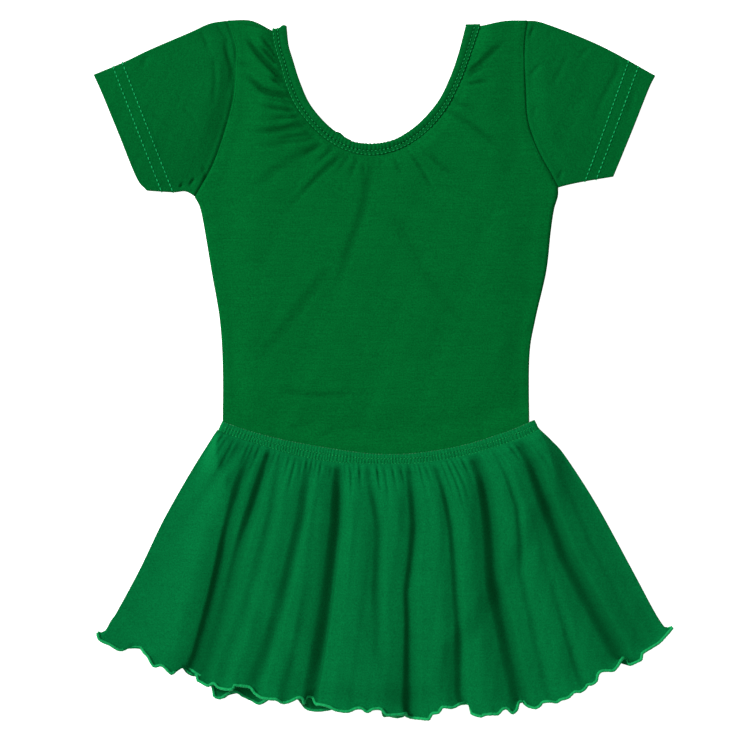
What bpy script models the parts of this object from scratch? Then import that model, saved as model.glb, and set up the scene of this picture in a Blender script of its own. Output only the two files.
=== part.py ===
"""A child's short-sleeved leotard with a gathered skirt, laid flat on its back with the front up.

Lengths in the tables are millimetres. X runs across the garment, Y up towards the neck and Z up from the
surface that it lies on. The origin is on the centre line, under the back.
"""

import math

import bpy
import numpy as np

MM = 0.001

# Cloth and seams
WALL = 1.0
BAND_WALL = 1.2
SEAM_GAP = 0.3
EDGE_GAP = 0.5
LAYER = WALL + SEAM_GAP

# Heights of the back's upper face: on the surface, over the band's back strip, over the back skirt
BACK_FLAT = WALL
BACK_AT_BAND = WALL + LAYER + 0.1
BACK_IN_SKIRT = 4.6
BAND_TOP = 5.4
OVER_BRIEF = 1.7
OVER_BACK_SKIRT = 4.7
SEAM_TOP = 2.3

# Lofts, the height that a front stands off the layer below it
BODICE_LOFT = 2.6
SLEEVE_EDGE = 2.7
SLEEVE_LOFT = 3.2
NECK_TOP = 2.9

# Skirt
FOLD_HEIGHT = 6.5
BACK_PLEAT_HEIGHT = 1.9
HEM_WAVE_DEPTH = 9.0
FRONT_WAVES = 40
BACK_WAVES = 32
WAVE_HEIGHT = 3.0
WAVE_REACH = 1.4
BACK_WAVE_SHARE = 0.5
DROP_LENGTH = 190.0

# Columns and rows of each piece
NECK_COLUMNS = 28
SHOULDER_COLUMNS = 2
ARMHOLE_ROWS = 8
SIDE_ROWS = 7
SIDE_REACH = 16
BRIEF_ROWS = 6
SLEEVE_ROWS = 7
BAND_COLUMNS = 44
FRONT_SKIRT_COLUMNS = 160
BACK_SKIRT_COLUMNS = 96
FRONT_DROPS = (0.0, 0.04, 0.1, 0.2, 0.34, 0.5, 0.66, 0.8, 0.91, 0.965, 1.0)
BACK_DROPS = (0.0, 0.06, 0.2, 0.5, 0.8, 0.95, 1.0)

# Outlines, seen from the front: X and Y of the points that each smooth curve passes through
ARMHOLE_LEFT = [
    (-109.5, 256), (-103.6, 237), (-103.4, 224), (-105.1, 201), (-111, 177), (-120.6, 150), (-133.9, 126),
]
ARMHOLE_RIGHT = [
    (111.7, 256), (109.5, 237), (110.5, 201), (112.5, 180.6), (119.9, 160.6), (129.5, 142.8),
    (134.7, 133),
]
SIDE_LEFT = [(-133.9, 126), (-128, 106.6), (-121.4, 71), (-115.4, 35.5), (-113.2, 0), (-113.2, -46)]
SIDE_RIGHT = [(134.7, 133), (130, 107), (125.8, 71), (117.7, 35.5), (113.4, 8), (113.2, -46)]
LEG_LEFT = [(-113.2, -46), (-110, -60), (-112, -92), (-95, -125), (-70, -165), (-42, -205), (-34, -224)]
LEG_RIGHT = [(113.2, -46), (110, -60), (112, -92), (95, -125), (70, -165), (42, -205), (34, -224)]
CROTCH = [(-34, -224), (0, -226), (34, -224)]
NECK_INNER = [
    (-65.9, 250), (-64.4, 238), (-61.4, 228), (-56.2, 211.6), (-48.1, 194), (-34, 178), (-20, 169),
    (-3, 164.6),
    (16, 170), (32, 181), (45.5, 196.5), (54, 213), (60, 230), (64.5, 250),
]
NECK_OUTER = [
    (-78.8, 249.2), (-77, 238), (-73.3, 226), (-66, 202), (-56.5, 186), (-41, 170), (-23.5, 159.5),
    (-3, 155.6),
    (18.5, 160.6), (37.5, 172.5), (53, 190.5), (63.6, 211), (70.8, 231), (78.4, 251.5),
]
SHOULDER_LEFT_FRONT = [(-109.5, 256.2), (-94, 253.4), (-79.4, 249.6)]
SHOULDER_LEFT_BACK = [(-109.5, 257), (-92, 256.8), (-79.4, 250.4)]
SHOULDER_RIGHT_FRONT = [(79, 252.2), (95, 255), (111.7, 256.2)]
SHOULDER_RIGHT_BACK = [(79, 253), (95, 256.6), (111.7, 257)]
SLEEVE_LEFT_TOP = [
    (-110.3, 257.4), (-122.8, 254.6), (-137.6, 248), (-167.2, 235.3), (-185.7, 226.4), (-208.7, 216.8),
]
SLEEVE_LEFT_CUFF = [(-208.7, 216.8), (-201.3, 200.5), (-189.4, 171.7), (-176.9, 140.6), (-169.5, 131)]
SLEEVE_LEFT_UNDER = [(-134.6, 126.6), (-140.6, 130.4), (-150, 129.8), (-169.5, 131)]
SLEEVE_RIGHT_TOP = [(112.5, 257.4), (125.1, 254.6), (165.8, 238.3), (206.5, 216.1)]
SLEEVE_RIGHT_CUFF = [(206.5, 216.1), (201, 205), (189.4, 176), (175.4, 141.3)]
SLEEVE_RIGHT_UNDER = [(135.5, 133.4), (141, 135), (153.2, 137.6), (175.4, 141.3)]
BAND_UPPER = [
    (-116.4, -39.2), (-91, -47), (-63, -54), (-19, -61.4), (7.4, -63.6), (34, -62.2), (67, -56.2),
    (97, -46.6), (119, -37.6),
]
BAND_LOWER = [
    (-116.8, -45.2), (-91, -55.3), (-59, -64.6), (-30, -70), (7.4, -71), (34, -70.2), (70.3, -63.8),
    (106, -52.4), (120.8, -44.6),
]
SKIRT_LEFT = [
    (-117, -45.8), (-122.1, -53.3), (-136.9, -77), (-156.9, -112.5), (-173.9, -148), (-191, -180),
    (-206.5, -195.4),
]
SKIRT_RIGHT = [
    (121.2, -45.2), (129.5, -53.3), (139.9, -65.1), (162.8, -100.6), (188.7, -148), (205, -178),
    (219.8, -191.7),
]
HEM_FRONT = [
    (-206.5, -195.4), (-189, -207), (-170, -214), (-150, -225), (-122, -233.5), (-92, -240),
    (-56, -243.5), (-30, -250),
    (0, -253.5), (29, -257), (48, -250), (66, -250), (80, -253.5), (107, -248), (128, -244), (147, -236),
    (166, -225),
    (190, -216), (208, -204), (219.8, -191.7),
]
HEM_BACK = [
    (-206.5, -195.4), (-189, -205.5), (-170, -213), (-150, -225), (-122, -242), (-92, -247.5),
    (-60, -246), (-42, -251.5),
    (-22, -252), (0, -252), (29, -254), (60, -249), (90, -250), (128, -242), (166, -224), (208, -203.5),
    (219.8, -191.7),
]

# Folds of the skirt's front. Places are percent of the way across, at the waist, a quarter down, half way
# and at the hem. Widths are percent too, to each side of the groove. Depths are shares of the fold height.
FOLD_COLUMNS = (
    "waist", "quarter", "middle", "hem", "left_width", "right_width",
    "depth_waist", "depth_middle", "depth_hem",
)
FRONT_FOLDS = [
    (8.9, 6.0, 3.0, 2.0, 2.2, 2.6, 0.45, 0.15, 0.10),
    (12.2, 13.1, 14.7, 16.0, 1.0, 2.4, 0.35, 0.85, 1.00),
    (16.8, 17.3, 17.0, 17.2, 1.5, 1.1, 0.85, 0.55, 0.60),
    (20.6, 22.3, 22.2, 20.4, 2.0, 2.2, 0.30, 0.35, 0.30),
    (29.2, 29.3, 28.9, 27.0, 2.4, 1.6, 0.45, 0.55, 0.55),
    (34.4, 33.5, 34.0, 32.6, 1.6, 1.8, 0.20, 0.22, 0.30),
    (37.9, 38.4, 38.0, 37.1, 2.2, 1.1, 0.90, 0.75, 0.95),
    (46.6, 48.8, 48.2, 48.8, 1.9, 1.9, 0.35, 0.45, 0.14),
    (58.6, 57.1, 54.8, 53.6, 1.8, 2.4, 0.75, 0.60, 1.00),
    (66.3, 65.8, 64.9, 62.8, 1.5, 1.5, 0.65, 0.50, 0.65),
    (77.8, 74.0, 71.4, 71.2, 2.6, 2.9, 0.95, 0.80, 0.75),
    (83.6, 81.8, 78.2, 77.2, 1.4, 1.6, 0.45, 0.35, 0.35),
    (87.3, 85.9, 84.2, 83.4, 1.2, 1.6, 0.25, 0.25, 0.40),
    (92.3, 88.6, 88.2, 90.0, 2.6, 2.8, 0.95, 0.95, 1.00),
    (98.6, 96.4, 95.2, 95.6, 1.4, 1.6, 0.25, 0.35, 0.30),
]

# Short gathers under the band, which fade out within the first part of the drop
GATHER_COLUMNS = ("at", "width", "depth", "ends_at")
FRONT_GATHERS = [
    (4.0, 0.9, 0.14, 0.16), (6.3, 0.9, 0.20, 0.20), (11.0, 0.8, 0.18, 0.14), (14.0, 0.8, 0.24, 0.22),
    (18.8, 0.8, 0.30, 0.14), (23.4, 0.8, 0.18, 0.16), (25.3, 0.8, 0.18, 0.20), (27.3, 0.8, 0.16, 0.12),
    (31.2, 0.9, 0.16, 0.18), (32.8, 0.8, 0.14, 0.12), (36.0, 0.9, 0.22, 0.10), (40.0, 0.9, 0.30, 0.12),
    (41.9, 0.8, 0.24, 0.18), (44.4, 0.8, 0.16, 0.14), (49.6, 0.8, 0.30, 0.16), (51.7, 0.8, 0.16, 0.20),
    (54.1, 0.8, 0.18, 0.14), (56.6, 0.8, 0.20, 0.12), (61.9, 0.8, 0.16, 0.18), (64.0, 0.8, 0.16, 0.12),
    (68.7, 0.8, 0.20, 0.22), (70.6, 0.8, 0.20, 0.26), (72.4, 0.8, 0.20, 0.20), (74.8, 0.8, 0.16, 0.14),
    (80.0, 0.8, 0.20, 0.12), (85.4, 0.8, 0.22, 0.18), (89.4, 0.8, 0.22, 0.14), (95.0, 0.9, 0.20, 0.22),
]

# Soft pleats of the skirt's back: percent across at waist and hem, width and share of the pleat height
PLEAT_COLUMNS = ("waist", "hem", "width", "height")
BACK_PLEATS = [
    (8, 6, 2.6, 0.6), (14, 13, 2.4, 0.9), (21, 19, 2.6, 0.7), (27, 26, 2.2, 1.0), (33, 31, 2.6, 0.8),
    (39, 38, 2.4, 0.9), (45, 44, 2.6, 0.7), (51, 51, 2.4, 1.0), (57, 58, 2.6, 0.8), (63, 65, 2.2, 0.9),
    (69, 71, 2.6, 0.7), (75, 77, 2.4, 1.0), (81, 84, 2.6, 0.8), (88, 91, 2.4, 0.7),
]

# Soft creases of the bodice: both ends, width and height, where a height below zero is a trough
CREASE_COLUMNS = ("from_x", "from_y", "to_x", "to_y", "width", "height")
BODICE_CREASES = [
    (-80, 228, -66, 214, 7, 0.7), (-86, 203, -62, 199, 6, 0.6), (-90, 184, -56, 182, 8, 0.8),
    (-90, 172, -46, 176, 7, -0.6), (-78, 154, -38, 164, 8, 0.9), (-56, 143, -30, 160, 6, -0.5),
    (-16, 160, -23, 150, 5, 0.6), (-1, 156, -12, 126, 6, 0.7), (16, 157, 20, 147, 5, 0.5),
    (27, 160, 38, 146, 6, 0.7), (70, 219, 88, 232, 7, 0.7), (64, 196, 86, 196, 7, 0.6),
    (-34, 138, -66, 92, 13, -0.8), (-66, 92, -86, 8, 16, -0.7), (-10, 120, -20, 86, 14, 0.5),
    (-64, -20, -48, -19, 8, 0.5), (-28, -17, 4, -18, 8, 0.5), (44, -8, 84, -2, 12, 0.5),
]

# Colours, linear, with roughness
BODICE_GREEN = (0.001, 0.130, 0.023, 1.0)
SLEEVE_GREEN = (0.001, 0.120, 0.023, 1.0)
SKIRT_GREEN = (0.001, 0.155, 0.042, 1.0)
BAND_GREEN = (0.002, 0.150, 0.036, 1.0)
CLOTH_ROUGHNESS = 0.88


def smooth_curve(points, count):
    """Count points at even lengths along a curve that passes smoothly through the given ones."""
    given = np.array(points, float)
    padded = np.vstack([2 * given[0] - given[1], given, 2 * given[-1] - given[-2]])
    fine = []
    for k in range(len(given) - 1):
        a, b, c, d = padded[k : k + 4]
        f = np.linspace(0, 1, 24, endpoint=False)[:, None]
        bend = (2 * a - 5 * b + 4 * c - d) * f**2 + (3 * b - a - 3 * c + d) * f**3
        fine.append(0.5 * (2 * b + (c - a) * f + bend))
    fine = np.vstack([*fine, given[-1:]])
    along = np.concatenate([[0], np.cumsum(np.linalg.norm(np.diff(fine, axis=0), axis=1))])
    wanted = np.linspace(0, along[-1], count)
    return np.column_stack([np.interp(wanted, along, fine[:, 0]), np.interp(wanted, along, fine[:, 1])])


def at_shares(points, shares):
    """Points of the smooth curve at the given shares of its length."""
    fine = smooth_curve(points, 400)
    place = np.asarray(shares) * (len(fine) - 1)
    index = np.arange(len(fine))
    return np.column_stack([np.interp(place, index, fine[:, 0]), np.interp(place, index, fine[:, 1])])


def stretched(top, bottom, left, right, across, down, reach=1):
    """The flat sheet stretched between four edges. Across and down are the shares of its columns and rows.

    The larger the reach, the closer to the side edges their bulges stay.
    """
    s = np.asarray(across)[None, :, None]
    t = np.asarray(down)[:, None, None]
    ruled = (1 - t) * top[None] + t * bottom[None]
    left_bulge = left[:, None] - (1 - t) * left[0] - t * left[-1]
    right_bulge = right[:, None] - (1 - t) * right[0] - t * right[-1]
    return ruled + (1 - s) ** reach * left_bulge + s**reach * right_bulge


def ease(start, end, value):
    """0 up to start, 1 from end on, and smooth between them."""
    share = np.clip((np.asarray(value, float) - start) / (end - start), 0, 1)
    return share * share * (3 - 2 * share)


def hump(distance):
    """1 in the middle and 0 from a distance of 1 on, with a round top."""
    return 0.5 + 0.5 * np.cos(math.pi * np.clip(np.abs(distance), 0, 1))


def band_middle(x):
    """Y of the waistband's middle line at each X."""
    upper, lower = np.array(BAND_UPPER), np.array(BAND_LOWER)
    return 0.5 * (np.interp(x, upper[:, 0], upper[:, 1]) + np.interp(x, lower[:, 0], lower[:, 1]))


def back_height(x, y):
    """Z of the back's upper face: flat on the surface, then over the band and the back skirt."""
    above = y - band_middle(x)
    at_band = BACK_FLAT + (BACK_AT_BAND - BACK_FLAT) * (1 - ease(8, 24, above))
    return at_band + (BACK_IN_SKIRT - BACK_AT_BAND) * (1 - ease(-24, -8, above))


def creases(x, y):
    """Height that the bodice's creases add."""
    total = np.zeros_like(x)
    for row in BODICE_CREASES:
        fold = dict(zip(CREASE_COLUMNS, row))
        along = np.array([fold["to_x"] - fold["from_x"], fold["to_y"] - fold["from_y"]])
        length = np.linalg.norm(along)
        along = along / length
        place = (x - fold["from_x"]) * along[0] + (y - fold["from_y"]) * along[1]
        off = (x - fold["from_x"]) * along[1] - (y - fold["from_y"]) * along[0]
        past = np.maximum(np.maximum(-place, place - length), 0)
        total += fold["height"] * hump(off / fold["width"]) * hump(past / fold["width"])
    return total


def new_object(name, points, quads, thickness, colour):
    """A cloth piece: the outer face as a mesh, with a Solidify modifier that gives the wall inwards."""
    mesh = bpy.data.meshes.new(name)
    mesh.from_pydata((np.asarray(points) * MM).tolist(), [], quads)
    mesh.validate()
    mesh.shade_smooth()
    piece = bpy.data.objects.new(name, mesh)
    bpy.context.scene.collection.objects.link(piece)
    wall = piece.modifiers.new("wall", "SOLIDIFY")
    wall.thickness = thickness * MM
    wall.offset = -1
    material = bpy.data.materials.new(name + "_jersey")
    material.use_nodes = True
    shader = material.node_tree.nodes["Principled BSDF"]
    shader.inputs["Base Color"].default_value = colour
    shader.inputs["Roughness"].default_value = CLOTH_ROUGHNESS
    shader.inputs["Metallic"].default_value = 0.0
    mesh.materials.append(material)
    return piece


def sheet_quads(rows, columns, ring):
    """Faces of a grid whose rows run down and columns across. A ring's last column joins its first."""
    quads = []
    for r in range(rows - 1):
        for c in range(columns if ring else columns - 1):
            d = (c + 1) % columns
            quads.append((r * columns + c, (r + 1) * columns + c, (r + 1) * columns + d, r * columns + d))
    return quads


def cloth(name, grid, colour, ring=False, thickness=WALL):
    """The object of a grid of points, as rows by columns by X, Y and Z."""
    rows, columns = grid.shape[:2]
    return new_object(name, grid.reshape(-1, 3), sheet_quads(rows, columns, ring), thickness, colour)


def with_height(flat, height):
    """X, Y and Z of a grid from its flat places and its heights."""
    return np.dstack([flat, height])


def side_edge(shoulder, armhole, side):
    """Side of a panel from the shoulder's end down, in the same steps along the armhole as the sleeve's."""
    upper = smooth_curve([tuple(shoulder), *armhole[1:]], ARMHOLE_ROWS + 1)
    return np.vstack([upper, smooth_curve(side, SIDE_ROWS + 1)[1:]])


def body_panel(name, shoulder_left, shoulder_right, height):
    """Front or back: bodice and brief in one, with rows from the neck edge down to the crotch."""
    neck = smooth_curve(NECK_OUTER, NECK_COLUMNS + 1)
    inward = smooth_curve(NECK_INNER, NECK_COLUMNS + 1) - neck
    neck = neck - EDGE_GAP * inward / np.linalg.norm(inward, axis=1)[:, None]
    left = smooth_curve([*shoulder_left[:-1], tuple(neck[0])], SHOULDER_COLUMNS + 1)
    right = smooth_curve([tuple(neck[-1]), *shoulder_right[1:]], SHOULDER_COLUMNS + 1)
    top = np.vstack([left[:-1], neck, right[1:]])
    along = np.concatenate([[0], np.cumsum(np.linalg.norm(np.diff(top, axis=0), axis=1))])
    across = along / along[-1]
    waist_x = np.interp(across, [0, 1], [SIDE_LEFT[-1][0], SIDE_RIGHT[-1][0]])
    waist = np.column_stack([waist_x, band_middle(waist_x)])
    waist[0], waist[-1] = SIDE_LEFT[-1], SIDE_RIGHT[-1]
    left_edge = side_edge(top[0], ARMHOLE_LEFT, SIDE_LEFT)
    right_edge = side_edge(top[-1], ARMHOLE_RIGHT, SIDE_RIGHT)
    drop = top[0][1] - left_edge[:, 1]
    bodice = stretched(top, waist, left_edge, right_edge, across, drop / drop[-1], reach=SIDE_REACH)
    brief = stretched(
        waist, at_shares(CROTCH, across),
        smooth_curve(LEG_LEFT, BRIEF_ROWS + 1), smooth_curve(LEG_RIGHT, BRIEF_ROWS + 1),
        across, np.linspace(0, 1, BRIEF_ROWS + 1),
    )
    flat = np.vstack([bodice, brief[1:]])
    inside = np.minimum(across, 1 - across)[None, :] * np.ones((len(flat), 1))
    return cloth(name, with_height(flat, height(flat[..., 0], flat[..., 1], inside)), BODICE_GREEN)


def from_neck(x, y):
    """Distance to the neck's seam."""
    seam = smooth_curve(NECK_OUTER, 4 * NECK_COLUMNS)
    return np.min(np.hypot(x[..., None] - seam[:, 0], y[..., None] - seam[:, 1]), axis=-1)


def back_panel_height(x, y, inside):
    """The back lies flat right out to its edges."""
    return back_height(x, y) + 0 * inside


def front_height(x, y, inside):
    """The front lies on the back at its edges and stands off it between them."""
    above = y - band_middle(x)
    loft = ease(0, 0.16, inside) * ease(6, 40, above) * ease(-4, 26, from_neck(x, y))
    creased = creases(x, y) * ease(0.02, 0.10, inside) * ease(6, 14, above)
    return back_height(x, y) + LAYER + BODICE_LOFT * loft + creased


def flat_ring(patch, across_count, heights, edge_radius):
    """A flattened tube. Patch gives X and Y for shares across at each row, and heights the upper face's Z."""
    spread = np.linspace(0, 1, across_count + 1)
    from_edge = np.zeros(across_count + 1)
    from_edge[0], from_edge[-1] = edge_radius, -edge_radius
    turn = np.radians([-45, 0, 45])
    round_edge = edge_radius * (1 - np.cos(turn))
    shares = np.concatenate([spread, np.ones(3), spread[::-1], np.zeros(3)])
    insets = np.concatenate([from_edge, -round_edge, from_edge[::-1], round_edge])
    falling = 0.5 - 0.5 * np.sin(turn)
    levels = np.concatenate([np.ones_like(spread), falling, np.zeros_like(spread), falling[::-1]])
    flat = patch(shares, insets)
    top = heights(flat[..., 0], flat[..., 1], shares)
    return with_height(flat, top * levels[None, :])


def inset_patch(top, bottom, left, right):
    """A patch whose columns are given as shares across and distances in from there."""

    def flat_at(shares):
        down = np.linspace(0, 1, len(left))
        return stretched(at_shares(top, shares), at_shares(bottom, shares), left, right, shares, down)

    def place(shares, insets):
        ahead, behind = np.clip(shares + 0.01, 0, 1), np.clip(shares - 0.01, 0, 1)
        way = flat_at(ahead) - flat_at(behind)
        return flat_at(shares) + way / np.linalg.norm(way, axis=2)[..., None] * insets[None, :, None]

    return place


def sleeve(name, armhole, top_fold, cuff, under, outward):
    """A short sleeve laid flat. Rows run from the armhole to the cuff, columns round the tube."""
    seam = [(x + outward * (EDGE_GAP + 0.1), y) for x, y in armhole]
    seam[0], seam[-1] = top_fold[0], under[0]
    place = inset_patch(
        seam, cuff,
        smooth_curve(top_fold, SLEEVE_ROWS + 1),
        smooth_curve(under, SLEEVE_ROWS + 1),
    )

    def height(x, y, shares):
        """Upper face of the sleeve, highest along its middle and low at the armhole."""
        loft = hump(2 * (shares - 0.5))[None, :] * np.ones_like(x)
        return SLEEVE_EDGE + SLEEVE_LOFT * np.sqrt(loft) * ease(0, 12, np.abs(x) - 112)

    grid = flat_ring(place, ARMHOLE_ROWS, height, SLEEVE_EDGE / 2)
    if outward > 0:
        grid = grid[:, ::-1]
    return cloth(name, grid, SLEEVE_GREEN, ring=True)


def waistband():
    """The ruched band, a low loop round the body and under it."""
    place = inset_patch(
        BAND_UPPER, BAND_LOWER,
        np.array([BAND_UPPER[0], BAND_LOWER[0]], float), np.array([BAND_UPPER[-1], BAND_LOWER[-1]], float),
    )
    grid = flat_ring(place, BAND_COLUMNS, lambda x, y, shares: np.full_like(x, BAND_TOP), BAND_TOP / 2)
    return cloth("waistband", grid, BAND_GREEN, ring=True)


def neck_band():
    """The elastic edge: a strip down one side of the front neck and up the other, and so on the back."""
    inner = smooth_curve(NECK_INNER, NECK_COLUMNS + 1)
    outer = smooth_curve(NECK_OUTER, NECK_COLUMNS + 1)
    radius = NECK_TOP / 2
    columns = [(inner[k], outer[k], NECK_TOP, 0.0) for k in range(NECK_COLUMNS + 1)]
    turn = [radius * math.sin(math.pi * k / 4) for k in (1, 2, 3)]
    levels = [radius + radius * math.cos(math.pi * k / 4) for k in (1, 2, 3)]
    columns += [(inner[-1], outer[-1], z, out) for z, out in zip(levels, turn)]
    columns += [(inner[k], outer[k], 0.0, 0.0) for k in range(NECK_COLUMNS, -1, -1)]
    columns += [(inner[0], outer[0], z, out) for z, out in zip(levels[::-1], turn)]
    rows = []
    for share in (0.0, 0.5, 1.0):
        row = []
        for near, far, z, out in columns:
            x, y = near + (far - near) * share
            row.append((x, y + out, z))
        rows.append(row)
    return cloth("neck_band", np.array(rows), BODICE_GREEN, ring=True, thickness=BAND_WALL)


def between(row, names, share):
    """A fold's value at a share of the drop, read between its table columns."""
    places, columns = zip(*names)
    return float(np.interp(share, places, [row[c] for c in columns]))


def front_folds(across, drop):
    """Depth of the grooves, as a share of the fold height, at one row of the skirt's front."""
    percent = 100 * across
    depth = np.zeros_like(percent)
    for values in FRONT_FOLDS:
        row = dict(zip(FOLD_COLUMNS, values))
        at = between(row, [(0.0, "waist"), (0.25, "quarter"), (0.5, "middle"), (0.9, "hem")], drop)
        deep = between(row, [(0.0, "depth_waist"), (0.5, "depth_middle"), (0.9, "depth_hem")], drop)
        off = percent - at
        groove = deep * hump(off / np.where(off < 0, row["left_width"], row["right_width"]))
        depth = depth + groove - depth * groove
    for values in FRONT_GATHERS:
        row = dict(zip(GATHER_COLUMNS, values))
        fade = 1 - ease(0.02, row["ends_at"], drop)
        groove = row["depth"] * fade * hump((percent - row["at"]) / row["width"])
        depth = depth + groove - depth * groove
    return depth


def brief_cover(x, y):
    """1 over the brief and 0 well outside it."""
    left, right = np.array(LEG_LEFT), np.array(LEG_RIGHT)
    to_left = np.interp(-y, -left[:, 1], left[:, 0]) - x
    to_right = x - np.interp(-y, -right[:, 1], right[:, 0])
    outside = np.maximum(np.maximum(to_left, to_right), left[-1, 1] - y)
    return 1 - ease(5, 26, outside)


def hem_edge(flat, across, drops, waves):
    """Adds the hem's waves along the drop, and returns the points and the height that the waves add."""
    reach = np.array([ease(1 - HEM_WAVE_DEPTH / DROP_LENGTH, 1.0, drop) for drop in drops])[:, None]
    phase = 2 * math.pi * waves * np.asarray(across)[None, :]
    down = flat[-1] - flat[-2]
    down = down / np.linalg.norm(down, axis=1)[:, None]
    moved = flat + (reach * np.sin(phase))[..., None] * down[None] * WAVE_REACH
    return moved, reach * (0.5 + 0.5 * np.cos(phase)) * WAVE_HEIGHT


def skirt_flat(hem, columns, drops):
    """Flat places of a skirt panel's grid, and its columns' shares across."""
    across = np.linspace(0, 1, columns + 1)
    top = np.array(BAND_LOWER) - (0, EDGE_GAP)
    top[0], top[-1] = SKIRT_LEFT[0], SKIRT_RIGHT[0]
    flat = stretched(
        at_shares(top, across), at_shares(hem, across),
        at_shares(SKIRT_LEFT, drops), at_shares(SKIRT_RIGHT, drops), across, drops,
    )
    return flat, across


def skirt_front():
    """Front of the skirt: a sheet raised over the brief and the back, with grooves between its folds."""
    flat, across = skirt_flat(HEM_FRONT, FRONT_SKIRT_COLUMNS, FRONT_DROPS)
    moved, wave = hem_edge(flat, across, FRONT_DROPS, FRONT_WAVES)
    x, y = flat[..., 0], flat[..., 1]
    cover = brief_cover(x, y)
    over_brief = back_height(x, y) + LAYER + OVER_BRIEF
    near_waist = 1 - ease(0, 11, band_middle(x) - y)
    base = OVER_BACK_SKIRT + (over_brief - OVER_BACK_SKIRT) * np.maximum(cover, near_waist)
    folds = np.array([1 - front_folds(across, drop) for drop in FRONT_DROPS])
    rise = np.array([0.25 + 0.75 * ease(0, 0.14, drop) for drop in FRONT_DROPS])[:, None]
    full = base + FOLD_HEIGHT * folds * rise
    drop = np.array(FRONT_DROPS)[:, None]
    seam = SEAM_TOP + (BAND_TOP - SEAM_TOP) * (1 - ease(0, 0.12, drop))
    width = np.linalg.norm(flat[:, -1] - flat[:, 0], axis=1)[:, None]
    from_edge = np.minimum(across, 1 - across)[None, :] * width
    height = seam + (full - seam) * ease(0, 1, from_edge / (3 + 19 * ease(0, 0.3, drop)))
    return cloth("skirt_front", with_height(moved, height + wave), SKIRT_GREEN)


def skirt_back():
    """Back of the skirt: flat on the surface at its sides, with low pleats between."""
    flat, across = skirt_flat(HEM_BACK, BACK_SKIRT_COLUMNS, BACK_DROPS)
    moved, wave = hem_edge(flat, across, BACK_DROPS, BACK_WAVES)
    height = np.full(flat.shape[:2], WALL)
    for values in BACK_PLEATS:
        row = dict(zip(PLEAT_COLUMNS, values))
        for r, drop in enumerate(BACK_DROPS):
            at = row["waist"] + (row["hem"] - row["waist"]) * drop
            lift = BACK_PLEAT_HEIGHT * row["height"] * ease(0.05, 0.25, drop)
            height[r] += lift * hump((100 * across - at) / row["width"])
    drop = np.array(BACK_DROPS)[:, None]
    calm = ease(0.0, 0.05, np.minimum(across, 1 - across)[None, :])
    lifted = height + BACK_WAVE_SHARE * wave * calm * ease(0.9, 1.0, drop)
    return cloth("skirt_back", with_height(moved, lifted), SKIRT_GREEN)


def clear_scene():
    """Removes what the scene holds."""
    for piece in list(bpy.data.objects):
        bpy.data.objects.remove(piece, do_unlink=True)


def main():
    """Makes the eight pieces."""
    clear_scene()
    body_panel("back", SHOULDER_LEFT_BACK, SHOULDER_RIGHT_BACK, back_panel_height)
    body_panel("front", SHOULDER_LEFT_FRONT, SHOULDER_RIGHT_FRONT, front_height)
    sleeve("sleeve_left", ARMHOLE_LEFT, SLEEVE_LEFT_TOP, SLEEVE_LEFT_CUFF, SLEEVE_LEFT_UNDER, -1)
    sleeve("sleeve_right", ARMHOLE_RIGHT, SLEEVE_RIGHT_TOP, SLEEVE_RIGHT_CUFF, SLEEVE_RIGHT_UNDER, 1)
    neck_band()
    waistband()
    skirt_front()
    skirt_back()


main()
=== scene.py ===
"""Looks of a child's short-sleeved leotard with a gathered skirt, laid flat with its front up.

The CAD frame gives each piece's place. Each cut piece is made here again as a finer cloth shell on the same
outlines, with its creases, gathers and folds, then sewn: stitches, a rolled lettuce edge and ruched elastic.
Lengths in the tables are millimetres, and everything is turned into metres when a mesh is made.
"""

import logging
import math
from dataclasses import dataclass, field
from enum import Enum
from typing import Callable, Sequence

import bpy
import numpy as np
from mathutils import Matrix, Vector

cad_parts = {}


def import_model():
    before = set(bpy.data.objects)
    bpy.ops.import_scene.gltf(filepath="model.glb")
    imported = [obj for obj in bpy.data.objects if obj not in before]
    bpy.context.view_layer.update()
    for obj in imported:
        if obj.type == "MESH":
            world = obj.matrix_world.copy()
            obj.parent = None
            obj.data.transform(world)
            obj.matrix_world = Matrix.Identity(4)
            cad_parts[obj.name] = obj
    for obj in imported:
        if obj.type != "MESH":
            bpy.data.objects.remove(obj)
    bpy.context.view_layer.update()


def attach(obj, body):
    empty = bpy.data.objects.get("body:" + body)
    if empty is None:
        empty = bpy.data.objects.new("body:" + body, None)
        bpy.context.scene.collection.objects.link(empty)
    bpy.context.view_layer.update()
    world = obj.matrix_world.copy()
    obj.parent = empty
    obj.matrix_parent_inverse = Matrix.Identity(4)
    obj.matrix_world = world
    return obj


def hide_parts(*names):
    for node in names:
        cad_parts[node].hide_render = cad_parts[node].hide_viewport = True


LOG = logging.getLogger("leotard")
MM = 0.001
Points = Sequence[tuple[float, float]]
Edge = Sequence[tuple[float, float, float]]
Array = Grid = np.ndarray
Piece = bpy.types.Object
Socket = bpy.types.NodeSocket
Feeds = dict[str | int, object]


class Slot(Enum):
    """Material slot names for the pieces' finishes; nothing in this script uses them."""

    BODICE = "bodice_jersey"
    SLEEVE = "sleeve_jersey"
    NECK = "neck_elastic"
    WAIST = "waist_elastic"
    SKIRT = "skirt_jersey"


class Side(Enum):
    """Side of the garment, as the sign of X."""

    LEFT = -1
    RIGHT = 1


# Cloth, layers and heights, as in the construction
WALL = 0.9
LAYER = 1.3
BACK_FLAT = 1.0
BACK_AT_BAND = 2.4
BACK_IN_SKIRT = 4.6
BAND_TOP = 5.4
OVER_BRIEF = 1.7
OVER_BACK_SKIRT = 4.7
SEAM_TOP = 2.3
BODICE_LOFT = 2.6
SLEEVE_EDGE = 2.7
SLEEVE_LOFT = 3.2
NECK_TOP = 2.9
NECK_SEAM = 0.83
FOLD_HEIGHT = 8.5
BACK_PLEAT_HEIGHT = 1.9
DROP_LENGTH = 190.0

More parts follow.
